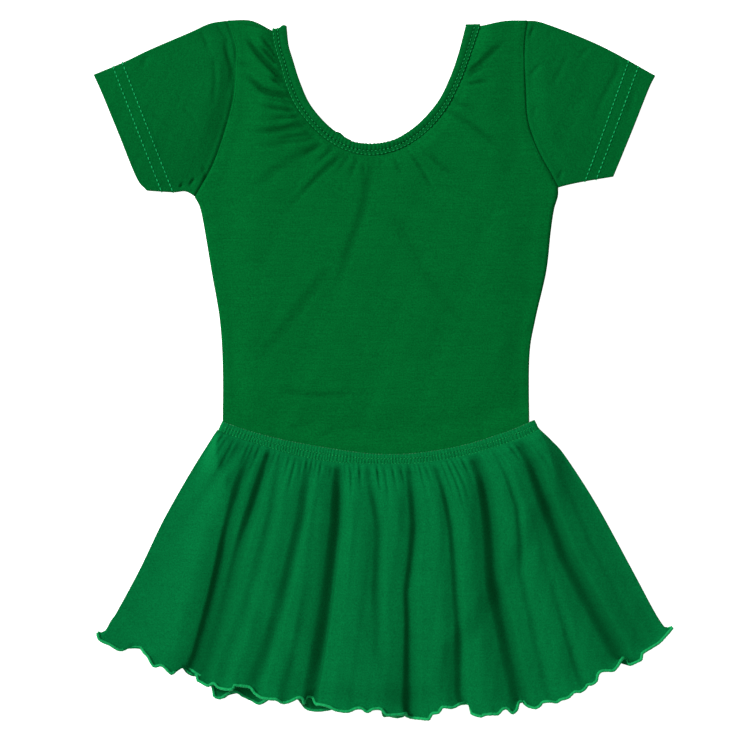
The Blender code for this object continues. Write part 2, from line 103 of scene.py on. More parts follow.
SLEEVE_COLOUR = (0.0006, 0.102, 0.0192)

# Outlines, seen from the front: X and Y of the points that each smooth curve passes through. HEM_ROWS has
# the distances from the cuff to each row of stitches, at the top and at the underarm.
ARMHOLE = {
    Side.LEFT: [
        (-109.9, 256.9), (-103.6, 237), (-103.4, 224), (-105.1, 201), (-111, 177), (-120.6, 150),
        (-133.9, 126),
    ],
    Side.RIGHT: [
        (112.1, 256.9), (109.5, 237), (110.5, 201), (112.5, 180.6), (119.9, 160.6), (129.5, 142.8),
        (134.7, 133),
    ],
}
BODY_SIDE = {
    Side.LEFT: [
        (-133.9, 126), (-130.4, 119.5), (-127.4, 106.6), (-121.4, 71), (-115.4, 35.5), (-113.2, 0),
        (-113.2, -46),
    ],
    Side.RIGHT: [
        (134.7, 133), (134.4, 126.5), (131.6, 117), (129.1, 100), (125.8, 71), (117.7, 35.5), (113.4, 8),
        (113.2, -46),
    ],
}
LEG = {
    Side.LEFT: [
        (-113.2, -46), (-110, -60), (-112, -92), (-95, -125), (-70, -165), (-42, -205), (-34, -224),
    ],
    Side.RIGHT: [(113.2, -46), (110, -60), (112, -92), (95, -125), (70, -165), (42, -205), (34, -224)],
}
CROTCH = [(-34, -224), (0, -226), (34, -224)]
NECK_INNER = [
    (-65.9, 250), (-64.4, 238), (-61.4, 228), (-56.2, 211.6), (-48.1, 194), (-34, 178), (-20, 169),
    (-14, 166.7), (-3, 165.8), (8, 167.2), (18, 171), (32, 181), (45.5, 196.5), (54, 213), (60.5, 231),
    (66.2, 252.6),
]
NECK_OUTER = [
    (-78.8, 249.2), (-77, 238), (-73.3, 226), (-66, 202), (-56.5, 186), (-41, 170), (-23.5, 159.5),
    (-3, 155.6), (18.5, 160.6), (37.5, 172.5), (53, 190.5), (63.6, 211), (71.4, 231), (79.2, 252.8),
]
SHOULDER_FRONT = {
    Side.LEFT: [(-109.5, 256.2), (-94, 253.4), (-79.4, 249.6)],
    Side.RIGHT: [(79, 252.2), (95, 255), (111.7, 256.2)],
}
SHOULDER_BACK = {
    Side.LEFT: [(-109.5, 257), (-92, 256.8), (-79.4, 250.4)],
    Side.RIGHT: [(79, 253), (95, 256.6), (111.7, 257)],
}
SLEEVE_TOP = {
    Side.LEFT: [
        (-110.3, 257.4), (-122.8, 254.6), (-137.6, 248), (-167.2, 235.3), (-185.7, 226.4), (-208.7, 216.8),
    ],
    Side.RIGHT: [(112.5, 257.4), (125.1, 254.6), (165.8, 238.3), (206.5, 216.1)],
}
SLEEVE_CUFF = {
    Side.LEFT: [(-208.7, 216.8), (-201.3, 200.5), (-189.4, 171.7), (-176.9, 140.6), (-169.5, 131)],
    Side.RIGHT: [(206.5, 216.1), (201, 205), (189.4, 176), (175.4, 141.3)],
}
HEM_ROWS = {
    Side.LEFT: [(15.6, 13.2), (23.1, 20.8)],
    Side.RIGHT: [(14.2, 10.9), (22.4, 18.0)],
}
SLEEVE_UNDER = {
    Side.LEFT: [(-134.6, 126.6), (-140.6, 130.4), (-150, 129.8), (-169.5, 131)],
    Side.RIGHT: [(135.5, 133.4), (141, 135), (153.2, 137.6), (175.4, 141.3)],
}
BAND_UPPER = [
    (-113.6, -39.4), (-91, -47), (-63, -54), (-19, -61.4), (7.4, -63.6), (34, -62.2), (67, -56.2),
    (97, -46.6), (117.2, -38.3),
]
BAND_LOWER = [
    (-116.8, -46.4), (-91, -55.3), (-59, -64.6), (-30, -70), (7.4, -71), (34, -70.2), (70.3, -63.8),
    (106, -52.4), (120.4, -45),
]
SKIRT_SIDE = {
    Side.LEFT: [
        (-117.2, -45.9), (-122.1, -53.3), (-136.9, -77), (-156.9, -112.5), (-173.9, -148), (-190.9, -179.8),
        (-195.4, -186.5), (-200.3, -194.4), (-206.3, -195.7),
    ],
    Side.RIGHT: [
        (120.5, -44.8), (129.5, -53.3), (139.9, -65.1), (162.8, -100.6), (188.7, -148), (205.3, -179.1),
        (212.9, -190.9), (215.7, -191.8), (219.8, -191.7),
    ],
}
HEM_FRONT = [
    (-206.5, -195.4), (-189, -207), (-170, -214), (-150, -225), (-122, -233.5), (-92, -240), (-56, -243.5),
    (-30, -250), (0, -253.5), (29, -257), (48, -250), (66, -250), (80, -253.5), (107, -248), (128, -244),
    (147, -236), (166, -225), (190, -216), (208, -204), (219.8, -191.7),
]
HEM_BACK = [
    (-206.5, -195.4), (-189, -205.5), (-170, -213), (-150, -225), (-122, -242), (-92, -247.5), (-60, -246),
    (-42, -251.5), (-22, -252), (0, -252), (29, -254), (60, -249), (90, -250), (128, -242), (166, -224),
    (208, -203.5), (219.8, -191.7),
]
# X, Y and how far the edge curls up (1) or under (-1)
HEM_FRONT_EDGE = [
    (-206.3, -195.7, 0.6), (-205.8, -198.7, 1), (-203.4, -201.6, 1), (-197.3, -204.2, 1),
    (-189.7, -208.4, 0.6), (-184.5, -206.5, -0.8), (-179.4, -205.9, -0.8), (-174.6, -206.5, -0.8),
    (-173, -208.4, 0), (-168.6, -212.9, 0.8), (-164.4, -219.7, 0.8), (-158.8, -219, 0.5), (-155, -222, 0.6),
    (-152.4, -225.4, 0.6), (-150.1, -222.7, 0), (-148.6, -220.8, -0.8), (-145.6, -220.4, -0.8),
    (-142.9, -222, -0.8), (-140.3, -225.1, -0.8), (-137.3, -226.9, -0.8), (-132.8, -227.3, -0.8),
    (-133.5, -229.9, 1), (-129.4, -231.8, 1), (-124.4, -234.1, 1), (-120.2, -232.1, 0.8),
    (-116.5, -235.2, 1), (-110.5, -236.3, 1), (-105.9, -235.9, 0.9), (-105.2, -233.3, 0.2),
    (-98.3, -233.7, 0.2), (-93, -234.9, 0.8), (-89.6, -239.6, 1), (-84.5, -242.6, 1), (-78.6, -243.5, 1),
    (-73.5, -243.9, 0.8), (-69.2, -246.6, 0.8), (-64.1, -245.8, 0.8), (-57.4, -242.6, 0.8),
    (-53.9, -244.3, 0.8), (-53.6, -247.7, 0.6), (-51.8, -242.7, -0.5), (-47.4, -243.5, -0.5),
    (-45, -247.7, 1), (-39.4, -247.7, 1), (-34.4, -249.4, 1), (-28.9, -252, 0.8), (-20.8, -252.8, 0.7),
    (-14.9, -250.6, 0.6), (-10.6, -250.6, 0.6), (-6.4, -253.2, 0.6), (-2.1, -251.1, 0.6),
    (3.8, -251.1, 0.6), (8.1, -255.3, 1), (14.9, -255.3, 1), (21.7, -254.9, 0.9), (22.1, -257, 0.1),
    (26.8, -258.5, 0.5), (32.9, -258.7, 0.6), (39.3, -258.7, 0.9), (40.4, -256.6, 0.5), (42.2, -254.5, 0.4),
    (46.4, -253.7, 0.5), (49.6, -249.5, 0.5), (57, -249.9, 0.6), (61.9, -247.4, 0.5), (64.8, -247, 0),
    (69.8, -247.8, -0.3), (70.4, -254, 0.6), (77.6, -256.3, 0.9), (80, -255.2, 0.7), (85.3, -254.5, 0.6),
    (90.3, -254.5, 0.6), (93.8, -250.9, 0.5), (97.4, -250.6, 0.5), (100.9, -254.1, 0.6),
    (104.4, -251.6, 0.5), (105.9, -247, -0.2), (109.4, -246, -0.5), (110.4, -247, 0.8), (112.9, -249.5, 1),
    (118.6, -250.6, 1), (122.2, -248.8, 0.8), (124.2, -246, 0.6), (128.5, -245.2, 0.8), (133.5, -246, 0.8),
    (136.5, -243.8, 1), (141.9, -242.2, 0.9), (146.4, -238.2, 0.7), (151.1, -237.9, 0.7),
    (155, -235.2, 0.7), (156.4, -233, 0.6), (159.7, -232.6, 0.7), (163, -229.6, 0.6), (163.2, -226.3, 0.2),
    (166.3, -222.7, 0.4), (171.6, -222.4, 0.4), (175.5, -222.4, 0.6), (178.9, -218.7, 0.5),
    (182.1, -213.8, 0.1), (184.8, -214.1, -0.3), (186.4, -217.4, 0.3), (188.4, -218.7, 0.8),
    (192.7, -216.7, 0.9), (197.4, -214.1, 0.8), (197.6, -210.5, 0.2), (203.9, -205.9, 0.3),
    (209.9, -202.2, 0.3), (215.9, -196.2, 0.5), (219.8, -191.7, 0.6),
]
HEM_BACK_EDGE = [
    (-206.3, -195.7, 0), (-200.5, -199.8, 0), (-195.4, -202, 0), (-188, -205.7, 0), (-179.1, -203.5, 0),
    (-170.2, -209.4, 0), (-161.3, -215.3, 0), (-152.4, -220.5, 0), (-143.6, -218.3, 0), (-134.7, -224.2, 0),
    (-125.8, -230.1, 0), (-121, -236.1, 0.5), (-120.6, -239.8, 0.8), (-119.5, -243.5, 0.8),
    (-115, -244.4, 0.8), (-110.5, -241.2, 0.8), (-105.9, -238.6, 0.5), (-102.9, -239.3, 0.5),
    (-98.4, -242.7, 0.5), (-92.1, -246, 0.5), (-86.2, -248.6, 0.5), (-78.6, -243.5, 0.3), (-71, -242, 0),
    (-63.6, -241.2, 0), (-57.4, -245.2, 0.5), (-53.1, -250.6, 0.6), (-49.7, -252.8, 0.6),
    (-42, -253.7, 0.6), (-34.4, -252.8, 0.4), (-28.4, -250.5, 0), (-19.2, -247.2, 0), (-10.4, -247.9, 0),
    (-1.5, -247.2, 0), (4.4, -251.6, 0.3), (5.1, -257.4, 0.6), (9.8, -257.4, 0.6), (15.8, -258.5, 0.6),
    (20.9, -257.3, 0.3), (28.9, -253.1, 0), (40, -252.3, 0), (51.1, -245.7, 0), (62.2, -243.5, 0),
    (73.3, -248.6, 0), (84.4, -250.1, 0), (95.5, -246.4, 0), (106.6, -242, 0), (117.7, -244.2, 0),
    (128.8, -240.5, 0), (139.9, -236.8, 0), (151, -232.4, 0), (159.8, -226.4, 0), (168.7, -217.6, 0),
    (177.6, -213.1, 0), (186.5, -210.2, 0), (195.4, -207.2, 0), (204.2, -201.3, 0), (213.1, -194.6, 0),
    (219.8, -191.7, 0),
]


@dataclass(frozen=True)
class Fold:
    """A groove of the skirt's front.

    Places and widths are percent of the way across, depths are shares of the fold height, and laps are the
    millimetres that the edge on the left (or, below zero, on the right) leans over the groove at the hem.
    """

    waist: float
    quarter: float
    middle: float
    hem: float
    left_width: float
    right_width: float
    depth_waist: float
    depth_middle: float
    depth_hem: float
    lap: float = 0.0

    def at(self, drop: float) -> float:
        """Place of the groove at a share of the drop."""
        places = self.waist, self.quarter, self.middle, self.hem
        return float(np.interp(drop, (0.0, 0.25, 0.5, 0.9), places))

    def depth(self, drop: float) -> float:
        """Depth of the groove at a share of the drop."""
        return float(np.interp(drop, (0.0, 0.5, 0.9), (self.depth_waist, self.depth_middle, self.depth_hem)))


@dataclass(frozen=True)
class Gather:
    """A short groove under the waistband that fades out at a share of the drop."""

    at: float
    width: float
    depth: float
    ends_at: float


@dataclass(frozen=True)
class Crease:
    """A soft trough of the cloth, or a ridge where its height is above zero, along a path.

    It is deepest near the path's first point and fades towards its last.
    """

    path: Points
    width: float
    height: float

    def at(self, x: Array, y: Array) -> Array:
        """Height that the crease adds at each place."""
        line = smooth_curve(self.path, 70)
        lift = np.zeros(x.shape)
        reach = 1.2 * self.width
        near = (
            (x > line[:, 0].min() - reach) & (x < line[:, 0].max() + reach)
            & (y > line[:, 1].min() - reach) & (y < line[:, 1].max() + reach)
        )
        if not near.any():
            return lift
        away = np.hypot(x[near][:, None] - line[None, :, 0], y[near][:, None] - line[None, :, 1])
        place = away.argmin(axis=1) / (len(line) - 1)
        taper = (0.55 + 0.45 * ease(0, 0.12, place)) * ease(0, 0.55, 1 - place)
        lift[near] = self.height * taper * hump(away.min(axis=1) / self.width)
        return lift


@dataclass(frozen=True)
class Pleat:
    """A low pleat of the skirt's back: percent across at waist and hem, width and share of the height."""

    waist: float
    hem: float
    width: float
    height: float


FRONT_FOLDS = [
    Fold(8.9, 6.0, 3.0, 2.0, 2.2, 2.6, 0.45, 0.15, 0.10),
    Fold(12.4, 13.4, 15.0, 16.4, 2.2, 2.6, 0.45, 1.00, 1.00, 4.0),
    Fold(17.4, 18.0, 17.8, 18.0, 1.9, 2.2, 0.85, 0.85, 0.90),
    Fold(21.0, 23.0, 22.9, 21.4, 2.0, 2.2, 0.30, 0.35, 0.35),
    Fold(29.8, 30.6, 29.8, 27.6, 2.4, 1.6, 0.45, 0.55, 0.50),
    Fold(34.4, 33.5, 34.0, 32.6, 1.6, 1.8, 0.10, 0.10, 0.25),
    Fold(38.4, 39.2, 38.8, 37.4, 2.6, 1.3, 1.00, 0.90, 1.00, -3.5),
    Fold(46.6, 49.3, 48.4, 48.8, 1.9, 1.9, 0.35, 0.42, 0.00),
    Fold(59.0, 58.0, 54.6, 53.4, 2.0, 2.6, 0.65, 0.55, 0.90, 3.5),
    Fold(66.9, 66.8, 65.2, 62.8, 1.5, 1.6, 0.50, 0.42, 0.55),
    Fold(79.0, 76.2, 73.2, 73.0, 2.5, 2.3, 1.00, 1.00, 0.90, -2.0),
    Fold(84.6, 83.4, 79.0, 77.6, 1.4, 1.6, 0.35, 0.25, 0.30),
    Fold(87.3, 86.4, 84.6, 83.6, 1.2, 1.6, 0.08, 0.08, 0.35),
    Fold(92.8, 90.2, 89.4, 91.4, 2.6, 2.5, 1.00, 1.00, 1.00, -2.0),
    Fold(98.6, 96.4, 95.2, 95.6, 1.4, 1.6, 0.25, 0.25, 0.20),
]
FRONT_GATHERS = [
    Gather(4, 0.9, 0.14, 0.16), Gather(6.3, 0.9, 0.20, 0.20), Gather(11, 0.8, 0.18, 0.14),
    Gather(14, 0.8, 0.24, 0.22), Gather(18.8, 0.8, 0.30, 0.14), Gather(23.4, 0.8, 0.18, 0.16),
    Gather(25.3, 0.8, 0.18, 0.20), Gather(27.3, 0.8, 0.16, 0.12), Gather(31.2, 0.9, 0.16, 0.18),
    Gather(32.8, 0.8, 0.14, 0.12), Gather(36, 0.9, 0.22, 0.10), Gather(40, 0.9, 0.30, 0.12),
    Gather(41.9, 0.8, 0.24, 0.18), Gather(44.4, 0.8, 0.16, 0.14), Gather(49.6, 0.8, 0.30, 0.16),
    Gather(51.7, 0.8, 0.16, 0.20), Gather(54.1, 0.8, 0.18, 0.14), Gather(56.6, 0.8, 0.20, 0.12),
    Gather(61.9, 0.8, 0.16, 0.18), Gather(64, 0.8, 0.16, 0.12), Gather(68.7, 0.8, 0.20, 0.22),
    Gather(70.6, 0.8, 0.20, 0.26), Gather(72.4, 0.8, 0.20, 0.20), Gather(74.8, 0.8, 0.16, 0.14),
    Gather(80, 0.8, 0.20, 0.12), Gather(85.4, 0.8, 0.22, 0.18), Gather(89.4, 0.8, 0.22, 0.14),
    Gather(95, 0.9, 0.20, 0.22),
]
BACK_PLEATS = [
    Pleat(8, 6, 2.6, 0.6), Pleat(14, 13, 2.4, 0.9), Pleat(21, 19, 2.6, 0.7), Pleat(27, 26, 2.2, 1),
    Pleat(33, 31, 2.6, 0.8), Pleat(39, 38, 2.4, 0.9), Pleat(45, 44, 2.6, 0.7), Pleat(51, 51, 2.4, 1),
    Pleat(57, 58, 2.6, 0.8), Pleat(63, 65, 2.2, 0.9), Pleat(69, 71, 2.6, 0.7), Pleat(75, 77, 2.4, 1),
    Pleat(81, 84, 2.6, 0.8), Pleat(88, 91, 2.4, 0.7),
]
FRONT_CREASES = [
    Crease([(-70.4, 215.0), (-79.9, 224.2), (-90.8, 236.6), (-97.5, 248.9)], 3.1, -2.2),
    Crease([(-73.5, 226.1), (-79.9, 231.6), (-86.4, 237.8)], 2.2, -1.5),
    Crease([(-76.0, 234.7), (-81.4, 240.5), (-86.4, 247.7)], 1.9, -1),
    Crease([(-67.3, 211.0), (-72.5, 211.6), (-78.4, 213.9)], 2.2, -1.5),
    Crease([(-62.9, 200.6), (-71.0, 201.7), (-82.1, 204.6), (-89.5, 210.7), (-99.9, 219.0)], 3.3, -2),
    Crease([(-64.4, 205.0), (-70.3, 206.5), (-75.5, 210.2)], 1.8, 0.8),
    Crease([(-61.4, 190.3), (-74.7, 192.0), (-88.1, 194.6)], 2.8, -1.2),
    Crease([(-56.2, 185.4), (-68.8, 185.0), (-82.9, 183.5)], 2.5, -1),
    Crease([(-52.5, 180.4), (-71.0, 176.5), (-96.2, 173.5)], 3.1, -1.3),
    Crease([(-46.6, 173.2), (-63.6, 170.9), (-79.9, 168.0)], 2.5, -0.98),
    Crease([(-44.4, 169.5), (-67.3, 166.5), (-93.2, 162.8)], 2.4, -0.84),
    Crease([(-40.7, 165.4), (-48.8, 160.2), (-57.7, 155.0)], 2.7, -1.1),
    Crease([(-31.4, 162.8), (-40.0, 155.4), (-48.1, 148.7)], 1.9, -1.0),
    Crease([(-24.1, 158.0), (-31.1, 151.7), (-42.9, 141.3), (-59.2, 123.6), (-68.8, 113.2)], 2.8, -0.95),
    Crease([(-34.8, 161.3), (-42.9, 153.9), (-54.0, 145.0)], 1.9, 0.45),
    Crease([(-29.6, 159.8), (-37.0, 151.7), (-47.4, 142.1)], 1.9, 0.45),
    Crease([(-47.4, 162.8), (-65.1, 152.4), (-84.4, 137.6), (-96.2, 126.5)], 5.9, -0.49),
    Crease([(-13.1, 155.2), (-16.3, 148.0), (-20.7, 137.6)], 1.9, -0.8),
    Crease(
        [(-2.6, 151.7), (-5.2, 140.6), (-10.6, 113.2), (-17.8, 92.5), (-25.4, 68.8), (-31.1, 51.8),
        (-36.5, 34.0)],
        5.4, -0.54,
    ),
    Crease([(4.8, 153.9), (1.5, 145.0)], 1.6, -0.4),
    Crease([(-35.5, 71.0), (-51.8, 50.3), (-71.0, 24.4), (-87.3, 4.4), (-96.2, -8.1)], 6.7, -0.45),
    Crease([(11.8, 115.4), (23.7, 94.7), (37.7, 68.8), (58.5, 41.4), (84.4, 11.8)], 7.4, -0.25),
    Crease([(-68.8, -17.4), (-56.2, -18.9), (-43.7, -20.0), (-19.2, -19.2), (3.0, -20.4)], 3.3, -0.52),
    Crease([(-42.9, -51.1), (-31.8, -45.9), (-21.5, -40.7)], 3.1, -0.28),
    Crease([(-63.6, -44.4), (-51.8, -41.4), (-42.9, -45.9)], 3.0, -0.25),
    Crease([(12.9, 155.4), (16.3, 148.0), (20.0, 139.1)], 1.8, -0.6),
    Crease([(27.4, 156.9), (36.3, 142.1), (47.4, 122.8)], 2.2, -0.6),
    Crease([(42.2, 155.4), (50.3, 148.0), (62.2, 141.3)], 3.7, -0.49),
    Crease([(32.6, 159.8), (40.0, 153.9), (48.1, 145.0)], 1.8, 0.35),
    Crease([(68.8, 217.6), (77.0, 225.0), (88.1, 235.3), (99.9, 244.2)], 3.3, -1.2),
    Crease([(69.9, 216.1), (77.0, 220.5), (85.1, 224.6)], 1.9, -0.91),
    Crease([(68.8, 209.8), (76.2, 210.9), (85.1, 212.0)], 2.4, -0.91),
    Crease([(52.5, 189.4), (67.3, 182.0), (82.9, 170.2), (99.2, 157.6)], 3.7, -0.65),
    Crease([(56.2, 198.3), (66.6, 193.9), (77.7, 188.7)], 2.8, -0.6),
    Crease([(-103.6, 227.9), (-96.2, 223.5), (-87.3, 220.5)], 3.7, -0.4),
    Crease([(-79.7, 249.4), (-86, 251.6), (-92, 252.9), (-100, 254.3), (-106.8, 254.9)], 1.3, -0.7),
    Crease([(-66.5, 219.5), (-74.5, 231.0), (-83.5, 243.0)], 1.7, -1.0),
    Crease([(-58.5, 195.5), (-71.5, 197.4), (-86.0, 200.5)], 1.8, -0.8),
    Crease([(-50.0, 177.5), (-66.0, 174.8), (-84.0, 171.4)], 1.8, -0.6),
    Crease([(-20.0, 157.3), (-24.5, 150.5), (-30.5, 142.0)], 1.6, -0.75),
    Crease([(-8.0, 153.6), (-9.2, 146.0), (-10.4, 138.0)], 1.6, -0.7),
]
BACK_CREASES = [
    Crease([(-52, 172), (-66, 152), (-90, 128)], 5.5, 0.75),
    Crease([(-22, 150), (-30, 121), (-54, 82)], 6.5, 0.65),
    Crease([(13, 151), (22, 113), (47, 68)], 7.0, 0.7),
    Crease([(57, 178), (75, 158), (98, 133)], 5.5, 0.65),
    Crease([(-72, 22), (-38, 11), (-3, 15)], 6.5, 0.6),
    Crease([(86, -8), (49, -21), (12, -18)], 6.0, 0.65),
    Crease([(-78, -66), (-56, -88), (-40, -124)], 6.0, 0.6),
    Crease([(44, -84), (30, -118), (22, -160)], 5.5, 0.55),
]
SLEEVE_CREASES = {
    Side.LEFT: [
        Crease(
            [(-110.8, 239.9), (-108.6, 229.8), (-106.1, 223.3), (-106.0, 213.1), (-107.7, 199.1)],
            3.6, -1.7,
        ),
        Crease([(-119.9, 254.6), (-112.6, 247.3), (-108.0, 240.9), (-105.8, 233.8)], 2.4, -1.1),
        Crease([(-130.2, 249.2), (-125.6, 242.7), (-123.7, 236.2), (-117.3, 231.6)], 3.1, -1.1),
        Crease([(-119.1, 227.9), (-118.2, 213.1), (-119.5, 200.2), (-120.5, 187.2)], 3.4, -0.9),
        Crease([(-162.6, 186.3), (-154.3, 180.7), (-142.2, 174.3), (-133.0, 169.6)], 2.8, -0.8),
        Crease([(-141.3, 191.8), (-134.8, 184.4), (-128.4, 176.1)], 2.5, -0.7),
        Crease([(-168.7, 232.4), (-170.9, 225.7), (-173.7, 219.0)], 4.1, -0.9),
        Crease([(-143.2, 135.1), (-144.7, 131.3)], 2.4, -2),
        Crease([(-134.3, 139.1), (-138.5, 133.6)], 2.2, -1.4),
        Crease([(-127.4, 147.4), (-125.4, 141.9), (-129.5, 135.4)], 2.5, -1.1),
        Crease([(-114.0, 186.5), (-110.6, 182.0)], 1.9, -0.6),
    ],
    Side.RIGHT: [
        Crease([(116.5, 250.9), (114.3, 246.4), (112.7, 241.2)], 2.2, -1.3),
        Crease([(121.4, 223.5), (116.2, 218.3), (112.1, 213.1)], 2.7, -1),
        Crease([(140.6, 228.7), (134.7, 216.8), (130.2, 208.7), (124.2, 201.3)], 3.7, -0.6),
        Crease([(156.9, 235.3), (152.4, 231.6), (148.7, 225.0)], 3.0, -0.6),
        Crease([(179.1, 227.9), (178.3, 219.0), (172.4, 207.9), (165.0, 192.4), (156.9, 172.4)], 4.1, -0.8),
        Crease([(129.5, 250.1), (128.0, 241.2)], 3.0, -0.5),
        Crease([(118.0, 192.4), (116.8, 184.3)], 2.5, -0.6),
        Crease([(190.9, 204.2), (187.2, 190.9), (183.5, 179.1)], 3.7, -0.45),
        Crease([(137.6, 145.0), (133.9, 137.6)], 2.5, -0.9),
    ],
}


def smooth_curve(points: Points | Edge, count: int) -> Array:
    """Points at even lengths along a curve that passes smoothly through the given ones.

    Args:
        points: X, Y and, on an edge, the curl of the points that the curve passes through.
        count: How many points to return.

    Returns:
        A row of the same columns for each point.
    """
    given = np.array(points, float)
    padded = np.vstack([2 * given[0] - given[1], given, 2 * given[-1] - given[-2]])
    fine = []
    for k in range(len(given) - 1):
        a, b, c, d = padded[k : k + 4]
        f = np.linspace(0, 1, 24, endpoint=False)[:, None]
        bend = (2 * a - 5 * b + 4 * c - d) * f**2 + (3 * b - a - 3 * c + d) * f**3
        fine.append(0.5 * (2 * b + (c - a) * f + bend))
    fine = np.vstack([*fine, given[-1:]])
    along = np.concatenate([[0], np.cumsum(np.linalg.norm(np.diff(fine[:, :2], axis=0), axis=1))])
    wanted = np.linspace(0, along[-1], count)
    return np.column_stack([np.interp(wanted, along, column) for column in fine.T])


def at_shares(points: Points, shares: Sequence[float]) -> Array:
    """Points of the smooth curve at the given shares of its length.

    Args:
        points: The points that the curve passes through.
        shares: Shares of the length, from 0 to 1.

    Returns:
        A row of X and Y for each share.
    """
    fine = smooth_curve(points, 1200)
    place = np.asarray(shares) * (len(fine) - 1)
    index = np.arange(len(fine))
    return np.column_stack([np.interp(place, index, column) for column in fine.T])


def stretched(
    top: Array, bottom: Array, left: Array, right: Array,
    across: Array, down: Array, reach: float = 1,
) -> Grid:
    """The flat sheet stretched between four edges.

    Args:
        top: Upper edge, a point for each column.
        bottom: Lower edge.
        left: Left edge, a point for each row.
        right: Right edge.
        across: Share of each column.
        down: Share of each row.
        reach: The larger it is, the closer to the side edges their bulges stay.

    Returns:
        Rows by columns by X and Y.
    """
    s = np.asarray(across)[None, :, None]
    t = np.asarray(down)[:, None, None]
    ruled = (1 - t) * top[None] + t * bottom[None]
    left_bulge = left[:, None] - (1 - t) * left[0] - t * left[-1]
    right_bulge = right[:, None] - (1 - t) * right[0] - t * right[-1]
    return ruled + (1 - s) ** reach * left_bulge + s**reach * right_bulge


def ease(start: float, end: float, value: Array | float) -> Array:
    """0 up to start, 1 from end on, and smooth between them."""
    share = np.clip((np.asarray(value, float) - start) / (end - start), 0, 1)
    return share * share * (3 - 2 * share)


def hump(distance: Array) -> Array:
    """1 in the middle and 0 from a distance of 1 on, with a round top."""
    return 0.5 + 0.5 * np.cos(math.pi * np.clip(np.abs(distance), 0, 1))


def ripple(x: Array, y: Array, length: float, seed: float) -> Array:
    """Smooth unevenness between -1 and 1 with bumps of about the given length."""
    k = 2 * math.pi / length
    first = np.sin(k * (x + 0.37 * y) + seed) * np.cos(k * (0.83 * y - 0.21 * x) + 1.7 * seed)
    second = np.sin(k * (0.61 * x - 0.9 * y) + 2.3 * seed) * np.cos(k * 1.37 * x + 0.6 * seed)
    return 0.6 * first + 0.4 * second


def band_middle(x: Array) -> Array:
    """Y of the waistband's middle line at each X."""
    upper, lower = np.array(BAND_UPPER), np.array(BAND_LOWER)
    return 0.5 * (np.interp(x, upper[:, 0], upper[:, 1]) + np.interp(x, lower[:, 0], lower[:, 1]))


def back_height(x: Array, y: Array) -> Array:
    """Z of the back's upper face: flat on the surface, then over the band and the back skirt."""
    above = y - band_middle(x)
    at_band = BACK_FLAT + (BACK_AT_BAND - BACK_FLAT) * (1 - ease(8, 24, above))
    return at_band + (BACK_IN_SKIRT - BACK_AT_BAND) * (1 - ease(-24, -8, above))


def distance_to(points: Points, x: Array, y: Array) -> Array:
    """Distance from each place to a smooth curve."""
    seam = smooth_curve(points, 400)
    nearest = np.full(x.shape, np.inf)
    for px, py in seam:
        nearest = np.minimum(nearest, np.hypot(x - px, y - py))
    return nearest


def total(creases: Sequence[Crease], x: Array, y: Array) -> Array:
    """Height that creases add together at each place."""
    return sum(crease.at(x, y) for crease in creases)


def soft_positive(value: Array, softness: float) -> Array:
    """A value that bends smoothly to 0 instead of going below it."""
    return softness * np.logaddexp(0, value / softness)


def with_height(flat: Grid, height: Array) -> Grid:
    """X, Y and Z of a grid from its flat places and its heights."""
    return np.dstack([flat, height])


def grid_normals(grid: Grid, ring: bool) -> Grid:
    """Outward unit normals of a grid.

    Args:
        grid: Rows by columns by X, Y and Z.
        ring: Whether the last column joins the first.

    Returns:
        A unit vector for each point.
    """
    if ring:
        padded = np.concatenate([grid[:, -1:], grid, grid[:, :1]], axis=1)
        across = padded[:, 2:] - padded[:, :-2]
    else:
        across = np.gradient(grid, axis=1)
    down = np.gradient(grid, axis=0)
    normal = np.cross(down, across)
    return normal / np.maximum(np.linalg.norm(normal, axis=2), 1e-9)[..., None]


class NodeKit:
    """Adds nodes to a tree, each with its settings and with what feeds its inputs."""

    def __init__(self, tree: bpy.types.NodeTree) -> None:
        """Keeps the tree that the nodes go into."""
        self.tree = tree

    def feed(self, node: bpy.types.Node, feeds: Feeds) -> None:
        """Links each named input of a node to a socket, or gives it a plain value."""
        for key, value in feeds.items():
            if isinstance(value, Socket):
                self.tree.links.new(value, node.inputs[key])
            else:
                node.inputs[key].default_value = value

    def add(self, kind: str, feeds: Feeds, **settings: object) -> bpy.types.Node:
        """Adds a node.

        Args:
            kind: Blender's name of the node type.
            feeds: A socket or a plain value for each input, by name or place.
            **settings: The node's own properties, set before its inputs.

        Returns:
            The node.
        """
        node = self.tree.nodes.new(kind)
        for name, value in settings.items():
            setattr(node, name, value)
        self.feed(node, feeds)
        return node

    def math(self, operation: str, first: object, second: object) -> Socket:
        """Result of a Math node for two sockets or numbers."""
        return self.add("ShaderNodeMath", {0: first, 1: second}, operation=operation).outputs["Value"]


def shaded(name: str, feeds: Feeds) -> tuple[bpy.types.Material, NodeKit, bpy.types.Node]:
    """A node material with one Principled shader, its kit and its shader."""
    material = bpy.data.materials.new(name)
    material.use_nodes = True
    kit, shader = NodeKit(material.node_tree), material.node_tree.nodes["Principled BSDF"]
    kit.feed(shader, feeds)
    return material, kit, shader


